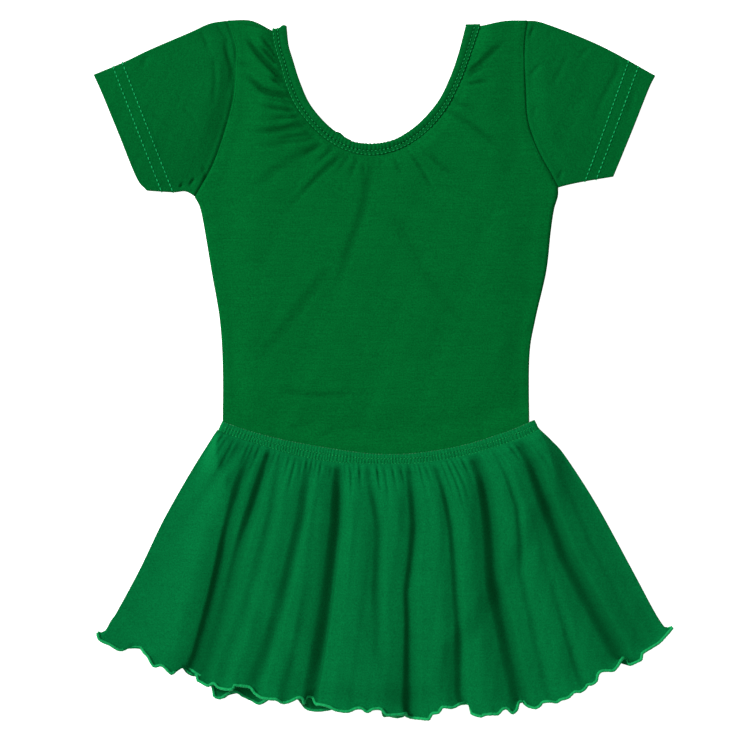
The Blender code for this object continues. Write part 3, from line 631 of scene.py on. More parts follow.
@dataclass(frozen=True)
class JerseyFinish:
    """Fine knit cloth: colour, level slub streaks, knit columns, grain, soft sheen and optional painted fold
    shade.
    """

    name: str
    colour: tuple[float, float, float]
    turn: float = 0.0
    streak: float = 0.07
    mottle: float = 0.05
    speckle: float = 0.24
    knit_bump: float = 0.3
    grain_bump: float = 0.45
    # Painted shade: how much darker the colour is painted where a crease or fold is deepest.
    painted_shade: float = 0.0

    def build(self) -> bpy.types.Material:
        """Makes the node material."""
        material, kit, shader = shaded(self.name, {
            "Roughness": 1.0, "Specular IOR Level": 0.01,
            "Sheen Weight": 0.02, "Sheen Roughness": 0.4, "Sheen Tint": (0.0, 0.6, 0.2, 1.0),
        })
        turned = kit.add("ShaderNodeMapping", {
            "Vector": kit.add("ShaderNodeTexCoord", {}).outputs["Object"],
            "Rotation": (0.0, 0.0, math.radians(self.turn)),
        }).outputs["Vector"]

        def noise(scale: tuple[float, float, float], detail: float) -> Socket:
            """A noise pattern on the cloth's own coordinates."""
            mapping = kit.add("ShaderNodeMapping", {"Vector": turned, "Scale": scale})
            return kit.add("ShaderNodeTexNoise", {
                "Vector": mapping.outputs["Vector"], "Scale": 1.0, "Detail": detail, "Roughness": 0.6,
            }).outputs["Fac"]

        def scaled(colour: object, pattern: Socket, values: tuple[float, float],
                   factors: tuple[float, float]) -> Socket:
            """A colour times a pattern, whose two values give the two factors."""
            span = kit.add("ShaderNodeMapRange", {
                "Value": pattern, "From Min": values[0], "From Max": values[1],
                "To Min": factors[0], "To Max": factors[1],
            })
            return kit.add(
                "ShaderNodeVectorMath", {0: colour, "Scale": span.outputs["Result"]}, operation="SCALE"
            ).outputs["Vector"]

        grain = noise((1000.0, 1000.0, 1000.0), 2.0)
        colour: object = self.colour
        for pattern, values, change in (
            (grain, (0.3, 0.7), self.speckle),
            (noise((48.0, 820.0, 48.0), 2.0), (0.3, 0.7), self.streak),
            (noise((60.0, 60.0, 60.0), 4.0), (0.25, 0.75), self.mottle),
        ):
            colour = scaled(colour, pattern, values, (1 - change, 1 + change))
        # Painted shade: the mesh's attribute darkens the colour in creases and folds, standing in for the
        # shade that falls there.
        if self.painted_shade > 0:
            shade = kit.add("ShaderNodeAttribute", {}, attribute_name="painted_shade")
            colour = scaled(colour, shade.outputs["Fac"], (0.0, 1.0), (1.0, 1 - self.painted_shade))
        wales = kit.add("ShaderNodeTexWave", {"Vector": turned, "Scale": 420.0, "Distortion": 0.8})
        knit = kit.add("ShaderNodeBump", {
            "Height": wales.outputs["Fac"], "Strength": self.knit_bump, "Distance": 0.00012,
        })
        rough = kit.add("ShaderNodeBump", {
            "Height": grain, "Strength": self.grain_bump, "Distance": 0.0003,
            "Normal": knit.outputs["Normal"],
        })
        kit.feed(shader, {"Base Color": colour, "Normal": rough.outputs["Normal"]})
        return material


@dataclass(frozen=True)
class ThreadFinish:
    """Sewing thread, a little uneven in tone."""

    name: str
    colour: tuple[float, float, float]

    def build(self) -> bpy.types.Material:
        """Makes the node material."""
        material, kit, shader = shaded(self.name, {"Roughness": 0.75, "Specular IOR Level": 0.12})
        place = kit.add("ShaderNodeTexCoord", {}).outputs["Object"]
        texture = kit.add("ShaderNodeTexNoise", {"Vector": place, "Scale": 700.0})
        ramp = kit.add("ShaderNodeValToRGB", {"Fac": texture.outputs["Fac"]})
        for element, position, factor in zip(ramp.color_ramp.elements, (0.3, 0.7), (0.75, 1.15)):
            element.position = position
            element.color = (*[min(1.0, factor * part) for part in self.colour], 1.0)
        kit.feed(shader, {"Base Color": ramp.outputs["Color"]})
        return material


@dataclass
class Wardrobe:
    """The finishes, each made once."""

    # The bodice, skirt and neck finishes darken their colour in creases and folds: painted shade.
    bodice: JerseyFinish = JerseyFinish("bodice_jersey", (0.0006, 0.110, 0.0198), painted_shade=0.42)
    left_sleeve: JerseyFinish = JerseyFinish("left_sleeve_jersey", SLEEVE_COLOUR, turn=-65.0, streak=0.04)
    right_sleeve: JerseyFinish = JerseyFinish("right_sleeve_jersey", SLEEVE_COLOUR, turn=65.0, streak=0.04)
    skirt: JerseyFinish = JerseyFinish(
        "skirt_jersey", (0.0010, 0.130, 0.0330), streak=0.04, speckle=0.22, painted_shade=0.38
    )
    elastic: JerseyFinish = JerseyFinish("elastic_jersey", (0.0014, 0.140, 0.0340), streak=0.04)
    neck: JerseyFinish = JerseyFinish("neck_jersey", (0.0006, 0.104, 0.0190), streak=0.03, painted_shade=0.5)
    thread: ThreadFinish = ThreadFinish("stitch_thread", (0.0040, 0.360, 0.1050))
    band_thread: ThreadFinish = ThreadFinish("band_thread", (0.0020, 0.240, 0.0560))
    edge_thread: ThreadFinish = ThreadFinish("edge_thread", (0.0030, 0.300, 0.0820))
    tan_thread: ThreadFinish = ThreadFinish("elastic_edge_thread", (0.0450, 0.2400, 0.1000))
    made: dict[str, bpy.types.Material] = field(default_factory=dict)

    def get(self, finish: JerseyFinish | ThreadFinish) -> bpy.types.Material:
        """The finish's material, made at its first use."""
        if finish.name not in self.made:
            self.made[finish.name] = finish.build()
        return self.made[finish.name]


def placed(name: str, data: bpy.types.ID) -> Piece:
    """An object for some data, linked to the scene."""
    thing = bpy.data.objects.new(name, data)
    bpy.context.scene.collection.objects.link(thing)
    return thing


def dress(piece: Piece, nodes: Sequence[str] = ()) -> None:
    """Says what a piece rides on, and hides the construction nodes that it stands for."""
    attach(piece, "root")
    if nodes:
        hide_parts(*nodes)
    LOG.info("%s: %d faces", piece.name, len(piece.data.polygons))


def cloth(
    name: str, grid: Grid, ring: bool, material: bpy.types.Material, node: str,
    painted_shade: Array | None = None,
) -> Piece:
    """A cloth piece: a grid in millimetres with a wall inwards from it, and a UV map in metres along it.

    Args:
        name: The piece's name.
        grid: Rows by columns by X, Y and Z.
        ring: Whether the last column joins the first.
        material: Its only material.
        node: The construction node that it stands for.
        painted_shade: Painted shade of each point, from 0 to 1, darker in creases and folds, where the
            material reads it.

    Returns:
        The object, linked to the scene.
    """
    rows, columns = grid.shape[:2]
    last = columns if ring else columns - 1
    r, c = (index.ravel() for index in np.meshgrid(np.arange(rows - 1), np.arange(last), indexing="ij"))
    d = (c + 1) % columns
    quads = np.column_stack([r * columns + c, (r + 1) * columns + c, (r + 1) * columns + d, r * columns + d])
    mesh = bpy.data.meshes.new(name)
    mesh.from_pydata((grid.reshape(-1, 3) * MM).tolist(), [], quads.tolist())
    closed = np.concatenate([grid, grid[:, :1]], axis=1) if ring else grid
    step_u = np.linalg.norm(np.diff(closed, axis=1), axis=2)
    step_v = np.linalg.norm(np.diff(closed, axis=0), axis=2)
    u = np.concatenate([np.zeros((rows, 1)), np.cumsum(step_u, axis=1)], axis=1) * MM
    v = np.concatenate([np.zeros((1, closed.shape[1])), np.cumsum(step_v, axis=0)], axis=0) * MM
    corner_c, corner_r = np.column_stack([c, c, c + 1, c + 1]), np.column_stack([r, r + 1, r + 1, r])
    uv = np.stack([u[corner_r, corner_c], -v[corner_r, corner_c]], axis=-1)
    mesh.uv_layers.new(name="cloth").data.foreach_set("uv", uv.astype(np.float32).ravel())
    mesh.shade_smooth()
    mesh.materials.append(material)
    # Painted shade: each point's darkening in creases and folds goes onto the mesh for the material.
    if painted_shade is not None:
        depth = mesh.attributes.new("painted_shade", "FLOAT", "POINT")
        depth.data.foreach_set("value", painted_shade.astype(np.float32).ravel())
    piece = placed(name, mesh)
    wall = piece.modifiers.new("wall", "SOLIDIFY")
    wall.thickness = WALL * MM
    wall.offset = -1
    wall.use_rim = True
    dress(piece, [node])
    return piece


class ThreadTree:
    """A Geometry Nodes tree with named inputs, which lays thread of one kind along paths."""

    name: str
    sizes: tuple[str, ...]

    def __init__(self) -> None:
        """Builds the tree: its sockets, the thread's shape and its paint."""
        self.tree = bpy.data.node_groups.new(self.name, "GeometryNodeTree")
        sockets = {"Path": "Geometry", "Seed": "Int", "Thread": "Material"}
        sockets |= dict.fromkeys(self.sizes, "Float")
        for name, kind in sockets.items():
            self.tree.interface.new_socket(name, in_out="INPUT", socket_type="NodeSocket" + kind)
        self.tree.interface.new_socket("Sewn", in_out="OUTPUT", socket_type="NodeSocketGeometry")
        kit = NodeKit(self.tree)
        given = kit.add("NodeGroupInput", {}).outputs
        line = kit.add("GeometryNodeMeshToCurve", {"Mesh": given["Path"]}).outputs["Curve"]
        real = kit.add("GeometryNodeRealizeInstances", {"Geometry": self.shape(kit, given, line)})
        smooth = kit.add("GeometryNodeSetShadeSmooth", {"Geometry": real.outputs["Geometry"]})
        paint = kit.add("GeometryNodeSetMaterial", {
            "Geometry": smooth.outputs["Geometry"], "Material": given["Thread"],
        })
        kit.add("NodeGroupOutput", {"Sewn": paint.outputs["Geometry"]})

    def shape(self, kit: NodeKit, given: bpy.types.NodeOutputs, line: Socket) -> Socket:
        """Adds the nodes that make the thread along a line.

        Args:
            kit: Adds to the tree.
            given: The tree's inputs, by name.
            line: The path as a curve.

        Returns:
            The thread's geometry.
        """
        raise NotImplementedError

    def run(self, name: str, paths: list[Array], material: bpy.types.Material, seed: int,
            **sizes: float) -> Piece:
        """Lays the thread, and returns it as a plain mesh object with no modifier.

        Args:
            name: The piece's name.
            paths: Points of each path, in millimetres.
            material: The thread's finish.
            seed: Fixed seed of its unevenness.
            **sizes: The tree's named sizes, with underscores for spaces.

        Returns:
            The object, at the origin.
        """
        edges, start = [], 0
        for path in paths:
            edges += [(start + k, start + k + 1) for k in range(len(path) - 1)]
            start += len(path)
        mesh = bpy.data.meshes.new(name + "_path")
        mesh.from_pydata((np.vstack(paths) * MM).tolist(), edges, [])
        guide = placed(name + "_path", mesh)
        modifier = guide.modifiers.new("thread", "NODES")
        modifier.node_group = self.tree
        values = {key.replace("_", " "): value for key, value in sizes.items()}
        values |= {"Seed": seed, "Thread": material}
        for item in self.tree.interface.items_tree:
            if item.name in values:
                modifier[item.identifier] = values[item.name]
        graph = bpy.context.evaluated_depsgraph_get()
        made = bpy.data.meshes.new_from_object(guide.evaluated_get(graph))
        made.name = name
        bpy.data.objects.remove(guide, do_unlink=True)
        return placed(name, made)


class StitchTree(ThreadTree):
    """Lays stitches of one shape along a path, a little uneven in size."""

    name = "stitch_row"
    sizes = ("Pitch", "Stitch Length", "Thickness", "Height", "Unevenness")

    def shape(self, kit: NodeKit, given: bpy.types.NodeOutputs, line: Socket) -> Socket:
        """Balls at an even pitch, drawn out to stitches."""
        pitch = {"Curve": line, "Length": given["Pitch"]}
        points = kit.add("GeometryNodeCurveToPoints", pitch, mode="LENGTH")
        ball = kit.add("GeometryNodeMeshUVSphere", {"Segments": 6, "Rings": 5, "Radius": 0.5})
        size = kit.add("ShaderNodeCombineXYZ", {
            "X": given["Thickness"], "Y": given["Height"], "Z": given["Stitch Length"],
        })
        vary = kit.add("FunctionNodeRandomValue", {
            "Min": kit.math("SUBTRACT", 1.0, given["Unevenness"]), "Max": 1.0, "Seed": given["Seed"],
        }, data_type="FLOAT")
        grown = kit.add("ShaderNodeVectorMath", {
            0: size.outputs["Vector"], "Scale": vary.outputs["Value"],
        }, operation="SCALE")
        return kit.add("GeometryNodeInstanceOnPoints", {
            "Points": points.outputs["Points"], "Instance": ball.outputs["Mesh"],
            "Rotation": points.outputs["Rotation"], "Scale": grown.outputs["Vector"],
        }).outputs["Instances"]


class RollTree(ThreadTree):
    """Sweeps a thread-wrapped roll along a path."""

    name = "rolled_edge"
    sizes = ("Pitch", "Radius", "Wrap Depth")

    def shape(self, kit: NodeKit, given: bpy.types.NodeOutputs, line: Socket) -> Socket:
        """A round bar that is thinner at every second point, where the thread dips between two wraps."""
        pitch = {"Curve": line, "Length": given["Pitch"]}
        spaced = kit.add("GeometryNodeResampleCurve", pitch, mode="LENGTH")
        second = kit.math("MODULO", kit.add("GeometryNodeInputIndex", {}).outputs["Index"], 2.0)
        wrap = kit.math("SUBTRACT", 1.0, kit.math("MULTIPLY", second, given["Wrap Depth"]))
        vary = kit.add(
            "FunctionNodeRandomValue", {"Min": 0.86, "Max": 1.12, "Seed": given["Seed"]}, data_type="FLOAT"
        )
        uneven = kit.math("MULTIPLY", wrap, vary.outputs["Value"])
        radius = kit.math("MULTIPLY", uneven, given["Radius"])
        bar = kit.add("GeometryNodeSetCurveRadius", {"Curve": spaced.outputs["Curve"], "Radius": radius})
        circle = kit.add("GeometryNodeCurvePrimitiveCircle", {"Resolution": 8, "Radius": 1.0})
        return kit.add("GeometryNodeCurveToMesh", {
            "Curve": bar.outputs["Curve"], "Profile Curve": circle.outputs["Curve"], "Fill Caps": True,
            "Scale": radius,
        }).outputs["Mesh"]


def lifted(grid: Grid, ring: bool, rows: float | Array, lift: float) -> Array:
    """A path along a grid, moved out of the surface.

    Args:
        grid: Rows by columns by X, Y and Z.
        ring: Whether the grid is a tube; its path then closes.
        rows: Row of the path, for all columns or for each.
        lift: Millimetres out along the normals.

    Returns:
        The path's points.
    """
    place = np.broadcast_to(np.asarray(rows, float), grid.shape[1:2])
    low = np.clip(place.astype(int), 0, len(grid) - 2)
    share = (place - low)[:, None]
    outer = grid + lift * grid_normals(grid, ring)
    column = np.arange(grid.shape[1])
    path = (1 - share) * outer[low, column] + share * outer[low + 1, column]
    path[:, 2] = np.maximum(path[:, 2], 0.6)
    return np.vstack([path, path[:1]]) if ring else path


def levelled(path: Array, reach: int) -> Array:
    """A closed path whose heights are evened out over its neighbours.

    Args:
        path: Points whose last is the first again.
        reach: Points to each side that count.

    Returns:
        The path with evened heights.
    """
    heights = np.concatenate([path[-reach - 1:-1, 2], path[:, 2], path[1:reach + 1, 2]])
    even = path.copy()
    even[:, 2] = np.convolve(heights, np.ones(2 * reach + 1) / (2 * reach + 1), "valid")
    return even


def neck_seam(count: int) -> Array:
    """Seam between the neck's elastic edge and the bodice."""
    inner = smooth_curve(NECK_INNER, count)
    return inner + NECK_SEAM * (smooth_curve(NECK_OUTER, count) - inner)


def flat_ring(
    patch: Callable[[Array, Array], Grid], across_count: int,
    heights: Callable[[Array, Array, Array], Array], edge_radius: float,
    floor: Callable[[Array, Array, Array], Array] | None = None,
) -> Grid:
    """A flattened tube.

    Args:
        patch: Gives X and Y for shares across and insets from there, at each row.
        across_count: Steps across each face.
        heights: Gives the upper face's Z.
        edge_radius: Radius of the folds at both edges.
        floor: Gives the lower face's Z, which is 0 where left out.

    Returns:
        Rows by columns round the tube by X, Y and Z.
    """
    spread = np.linspace(0, 1, across_count + 1)
    from_edge = edge_radius * (1 - 2 * spread)
    turn = np.radians(np.linspace(-75, 75, 9))
    round_edge = edge_radius * (1 - np.cos(turn))
    shares = np.concatenate([spread, np.ones(9), spread[::-1], np.zeros(9)])
    insets = np.concatenate([from_edge, -round_edge, from_edge[::-1], round_edge])
    falling = 0.5 - 0.5 * np.sin(turn)
    levels = np.concatenate([np.ones_like(spread), falling, np.zeros_like(spread), falling[::-1]])
    flat = patch(shares, insets)
    top = heights(flat[..., 0], flat[..., 1], shares)
    low = 0.0 if floor is None else floor(flat[..., 0], flat[..., 1], shares)
    return with_height(flat, low + (top - low) * levels[None, :])


def inset_patch(
    top: Points, bottom: Points, left: Array, right: Array
) -> Callable[[Array, Array], Grid]:
    """A patch whose columns are given as shares across and distances in from there.

    Args:
        top: Curve of the first row.
        bottom: Curve of the last row.
        left: Edge at share 0, a point for each row.
        right: Edge at share 1.

    Returns:
        A function of shares and insets.
    """

    def flat_at(shares: Array) -> Grid:
        """The patch at plain shares."""
        down = np.linspace(0, 1, len(left))
        return stretched(at_shares(top, shares), at_shares(bottom, shares), left, right, shares, down)

    def place(shares: Array, insets: Array) -> Grid:
        """The patch at shares, moved by the insets along its columns' spread."""
        ahead, behind = np.clip(shares + 0.01, 0, 1), np.clip(shares - 0.01, 0, 1)
        way = flat_at(ahead) - flat_at(behind)
        return flat_at(shares) + way / np.linalg.norm(way, axis=2)[..., None] * insets[None, :, None]

    return place


@dataclass
class Bodice:
    """Front and back panels, each cut in one with half of the hidden brief."""

    wardrobe: Wardrobe
    neck_columns: int = 150
    shoulder_columns: int = 18
    armhole_rows: int = 78
    side_rows: int = 108
    brief_rows: int = 20
    back_coarse: int = 2
    side_reach: float = 16
    crease_gain: float = 1.3
    neck_centre: tuple[float, float] = (-3, 205)
    gather_height: float = 0.22
    gathers: int = 74
    gather_reach: float = 12
    gathers_below: float = 235
    pucker_height: float = 0.09
    pucker_reach: float = 11
    least_softness: float = 0.4
    clearance: float = 0.15

    def panel(self, shoulder: dict[Side, Points], coarse: int) -> tuple[Grid, Array]:
        """Flat grid of a panel, and each column's share across.

        Args:
            shoulder: The shoulder edges.
            coarse: Divides the counts of rows and columns.

        Returns:
            The grid, and the shares.
        """
        neck = neck_seam(self.neck_columns // coarse + 1)
        ends = self.shoulder_columns // coarse
        left = smooth_curve([*shoulder[Side.LEFT][:-1], tuple(neck[0])], ends + 1)
        right = smooth_curve([tuple(neck[-1]), *shoulder[Side.RIGHT][1:]], ends + 1)
        top = np.vstack([left[:-1], neck, right[1:]])
        along = np.concatenate([[0], np.cumsum(np.linalg.norm(np.diff(top, axis=0), axis=1))])
        across = along / along[-1]
        waist_ends = BODY_SIDE[Side.LEFT][-1], BODY_SIDE[Side.RIGHT][-1]
        waist_x = np.interp(across, [0, 1], [waist_ends[0][0], waist_ends[1][0]])
        waist = np.column_stack([waist_x, band_middle(waist_x)])
        waist[0], waist[-1] = waist_ends
        left_edge = self.side_edge(top[0], Side.LEFT, coarse)
        right_edge = self.side_edge(top[-1], Side.RIGHT, coarse)
        drop = top[0][1] - left_edge[:, 1]
        bodice = stretched(top, waist, left_edge, right_edge, across, drop / drop[-1], self.side_reach)
        rows = self.brief_rows // coarse
        brief = stretched(
            waist, at_shares(CROTCH, across),
            smooth_curve(LEG[Side.LEFT], rows + 1), smooth_curve(LEG[Side.RIGHT], rows + 1),
            across, np.linspace(0, 1, rows + 1),
        )
        return np.vstack([bodice, brief[1:]]), across

    def side_edge(self, shoulder: Array, side: Side, coarse: int) -> Array:
        """Side of a panel from the shoulder's end down to the waist."""
        upper = smooth_curve([tuple(shoulder), *ARMHOLE[side][1:]], self.armhole_rows // coarse + 1)
        return np.vstack([upper, smooth_curve(BODY_SIDE[side], self.side_rows // coarse + 1)[1:]])

    def front_height(self, x: Array, y: Array, inside: Array) -> tuple[Array, Array]:
        """Z of the front: on the back at its edges, off it between them, creased and puckered.

        Args:
            x: Places across.
            y: Places up.
            inside: Share in from the nearer side edge.

        Returns:
            Heights in millimetres, and the painted shade of each place, darker the deeper it lies in a
            crease or gather.
        """
        above_band = y - band_middle(x)
        from_neck = distance_to([tuple(point) for point in neck_seam(60)], x, y)
        loft = BODICE_LOFT * ease(0, 0.1, inside) * ease(6, 40, above_band) * ease(-2, 10, from_neck)
        clear = ease(4, 12, above_band)
        creased = self.crease_gain * total(FRONT_CREASES, x, y) * ease(0, 0.02, inside) * clear
        soft = (0.45 * ripple(x, y, 62, 1.3) + 0.16 * ripple(x, y, 23, 4.1)) * ease(0, 0.05, inside)
        angle = np.arctan2(y - self.neck_centre[1], x - self.neck_centre[0])
        near_neck = hump((from_neck - 2) / self.gather_reach) * (y < self.gathers_below)
        gather = self.gather_height * np.sin(angle * self.gathers + 1.5 * np.sin(angle * 9)) * near_neck
        near_band = hump((above_band - 5) / self.pucker_reach)
        pucker = self.pucker_height * np.sin(x * 0.95 + 1.9 * np.sin(x * 0.21)) * near_band
        seam = 0.35 * hump((inside - 0.016) / 0.012) - 0.1 * (1 - ease(0, 0.012, inside))
        rim = 0.2 * hump((from_neck - 2.6) / 2.4) - 0.45 * (1 - ease(0, 2.2, from_neck))
        finer = soft * clear + gather + pucker + seam * ease(8, 30, above_band) + rim
        height = LAYER + loft + creased + ease(-4, 2, above_band) * finer
        least = soft_positive(height - WALL - 0.2, self.least_softness)
        # Painted shade: the colour is to be darker in the troughs of the creases and gathers.
        painted_fold_shade = np.clip(-(creased + 1.5 * gather) / 1.4, 0, 1)
        return back_height(x, y) + WALL + self.clearance + least, painted_fold_shade

    def build(self) -> None:
        """Makes the front and the back."""
        material = self.wardrobe.get(self.wardrobe.bodice)
        flat, _ = self.panel(SHOULDER_BACK, self.back_coarse)
        x, y = flat[..., 0], flat[..., 1]
        height = back_height(x, y) + total(BACK_CREASES, x, y)
        back = cloth("back_panel", with_height(flat, height), False, material, "back")
        flat, across = self.panel(SHOULDER_FRONT, 1)
        inside = np.minimum(across, 1 - across)[None, :] * np.ones((len(flat), 1))
        height, painted_fold_shade = self.front_height(flat[..., 0], flat[..., 1], inside)
        front = cloth("front_panel", with_height(flat, height), False, material, "front", painted_fold_shade)


@dataclass
class Sleeve:
    """A short set-in sleeve laid flat, with a twin-needle hem."""

    wardrobe: Wardrobe
    stitches: StitchTree
    side: Side
    columns: int = 96
    rows: int = 84
    under_bodice: float = 1.1
    hem_depth: float = 21.7
    stitch_lift: float = 0.25

    def from_cuff(self, x: Array, y: Array) -> Array:
        """Distance in from the cuff's straight edge."""
        (x0, y0), (x1, y1) = SLEEVE_CUFF[self.side][0], SLEEVE_CUFF[self.side][3]
        return np.abs((x - x0) * (y1 - y0) - (y - y0) * (x1 - x0)) / math.hypot(x1 - x0, y1 - y0)

    def height(self, x: Array, y: Array, shares: Array) -> Array:
        """Upper face: lofted, creased, dipped at the armhole seam and stepped at the hem.

        Args:
            x: Places across.
            y: Places up.
            shares: Share of each column from the top fold to the underarm.

        Returns:
            Heights in millimetres.
        """
        share = shares[None, :] * np.ones_like(x)
        calm = np.sqrt(hump(2 * (share - 0.5)))
        from_seam = distance_to(ARMHOLE[self.side], x, y)
        from_cuff = self.from_cuff(x, y)
        folds = total(SLEEVE_CREASES[self.side], x, y) * ease(0, 0.04, np.minimum(share, 1 - share))
        step = 0.4 * (1 - ease(21.8, 24.6, from_cuff)) - 0.16 * hump((from_cuff - self.hem_depth) / 1.6)
        hem = step - 0.12 * hump((from_cuff - 14) / 1.5) + 0.12 * hump((from_cuff - 1.5) / 2)
        seam = 0.25 * hump((from_seam - 2.6) / 2.2) - 0.95 * (1 - ease(0.2, 1.5, from_seam))
        soft = 0.4 * ripple(x, y, 44, 2.2) + 0.15 * ripple(x, y, 17, 5.0)
        loft = SLEEVE_LOFT * calm * ease(0, 16, from_seam)
        return SLEEVE_EDGE + loft + seam + folds + calm * (soft + hem)

    def floor(self, x: Array, y: Array, shares: Array) -> Array:
        """Lower face: soft hollows where it lifts off the table."""
        calm = hump(2 * (shares - 0.5))[None, :] * np.ones_like(x)
        return calm * (0.4 + 0.3 * ripple(x, y, 40, 4.4) + 0.1 * ripple(x, y, 18, 1.9))

    def hem_paths(self, grid: Grid) -> list[Array]:
        """Paths of the hem's two rows of stitches, all round the sleeve."""
        from_cuff = self.from_cuff(grid[..., 0], grid[..., 1])
        fall = (grid[-1, :, 1].max() - grid[-1, :, 1]) / np.ptp(grid[-1, :, 1])
        index = np.arange(len(grid))[::-1]
        paths = []
        for at_top, at_bottom in HEM_ROWS[self.side]:
            wanted = at_top + (at_bottom - at_top) * fall
            rows = [np.interp(place, from_cuff[::-1, c], index) for c, place in enumerate(wanted)]
            paths.append(lifted(grid, True, np.array(rows), self.stitch_lift))
        return paths

    def build(self) -> None:
        """Makes the sleeve and its stitches."""
        seam = [(x - self.under_bodice * self.side.value, y) for x, y in ARMHOLE[self.side]]
        place = inset_patch(
            seam, SLEEVE_CUFF[self.side],
            smooth_curve([seam[0], *SLEEVE_TOP[self.side][1:]], self.rows + 1),
            smooth_curve([seam[-1], *SLEEVE_UNDER[self.side][1:]], self.rows + 1),
        )
        grid = flat_ring(place, self.columns, self.height, SLEEVE_EDGE / 2, self.floor)
        finish = self.wardrobe.left_sleeve
        if self.side is Side.RIGHT:
            grid = grid[:, ::-1]
            finish = self.wardrobe.right_sleeve
        name = "sleeve_" + self.side.name.lower()
        piece = cloth(name + "_cloth", grid, True, self.wardrobe.get(finish), name)
        sewing = self.stitches.run(
            name + "_hem_stitches", self.hem_paths(grid), self.wardrobe.get(self.wardrobe.thread), 7,
            Pitch=0.0034, Stitch_Length=0.0026, Thickness=0.00105, Height=0.0009, Unevenness=0.2,
        )
        dress(sewing)


def loop_of(front: Array, back: Array, turn: Array, turn_back: Array) -> Array:
    """Values along the neck's front, round one shoulder, along its back and round the other."""
    return np.concatenate([front, turn, back, turn_back])


@dataclass
class NeckBand:
    """The elastic edge round the neck, front and back, with two rows of stitches."""

    wardrobe: Wardrobe
    stitches: StitchTree
    columns: int = 420
    rows: int = 18
    turn_steps: int = 9
    stitch_rows: tuple[float, float] = (0.64, 0.94)
    stitch_lift: float = 0.34
    peek: tuple[float, float] = (-26.6, 172.4)
    peek_height: float = 1.3
    corner_x: float = -68.2
    corner_height: float = 2.3

    def grid(self) -> tuple[Grid, Array]:
        """Points of the band, and the painted shade of each, darker in its grooves and in the troughs of its
        ruching.
        """
        inner, outer = smooth_curve(NECK_INNER, self.columns + 1), neck_seam(self.columns + 1)
        radius, steps = NECK_TOP / 2, self.turn_steps
        share = np.linspace(0, 1, self.columns + 1)
        none, turns = 0 * share, np.radians(np.linspace(15, 165, steps))
        near, far = (
            loop_of(edge, edge[::-1], np.repeat(edge[-1:], steps, 0), np.repeat(edge[:1], steps, 0))
            for edge in (inner, outer)
        )
        out, over = radius * np.sin(turns), radius + radius * np.cos(turns)
        level = loop_of(NECK_TOP + none, none, over, over[::-1])
        on_front = loop_of(1 + none, none, np.zeros(steps), np.zeros(steps))[None, :]
        at = loop_of(share, share[::-1], np.ones(steps), np.zeros(steps))[None, :]
        width = np.linspace(0, 1, self.rows + 1)[:, None]
        flat = near[None] + (far - near)[None] * width[..., None]
        flat[..., 1] += loop_of(none, none, out, out)[None, :]
        gathered = hump((at - 0.5) / 0.30)
        wave = np.sin(at * 560 + 1.3 * np.sin(at * 97) + 0.8 * np.sin(at * 41))
        ruche = 0.28 * wave * (0.12 + 0.88 * gathered) * np.sin(math.pi * np.clip(width, 0, 1)) ** 0.6
        bead = 0.45 * np.sin(math.pi * np.clip(width * 1.7, 0, 1)) + 0.22 * hump((width - 0.81) / 0.11)
        first, second = self.stitch_rows
        groove = 0.5 * hump((width - first) / 0.10) + 0.2 * hump((width - second) / 0.07)
        relief = ruche + bead - groove * (0.4 + 0.6 * hump((at - 0.5) / 0.4)) - 0.12 * ease(0.94, 1.0, width)
        grid = with_height(flat, level[None, :] + on_front * relief)
        # Painted shade: darker along the groove of the first stitch row and in the ruching's troughs.
        painted_fold_shade = on_front * np.clip(0.85 * hump((width - first) / 0.16) - 1.5 * ruche, 0, 1)
        lip = 0.2 * wave * gathered * (1 - ease(0, 0.5, width))
        from_peek = np.hypot(near[:, 0] - self.peek[0], near[:, 1] - self.peek[1])[None, :]
        grid[..., 1] += lip + (1 - on_front) * self.peek_height * hump(from_peek / 5) * (1 - width)
        corner = hump((grid[..., 0] - self.corner_x) / 4.6) * ease(240, 250, grid[..., 1])
        grid[..., 1] += self.corner_height * corner
        return grid, painted_fold_shade

    def build(self) -> None:
        """Makes the band and its stitches."""
        grid, painted_fold_shade = self.grid()
        material = self.wardrobe.get(self.wardrobe.neck)
        piece = cloth("neck_elastic", grid, True, material, "neck_band", painted_fold_shade)
        rows = [lifted(grid, True, row * self.rows, self.stitch_lift) for row in self.stitch_rows]
        sewing = self.stitches.run(
            "neck_stitches", [levelled(row, 5) for row in rows],
            self.wardrobe.get(self.wardrobe.band_thread), 3,
            Pitch=0.0030, Stitch_Length=0.0022, Thickness=0.0010, Height=0.0009, Unevenness=0.25,
        )
        dress(sewing)


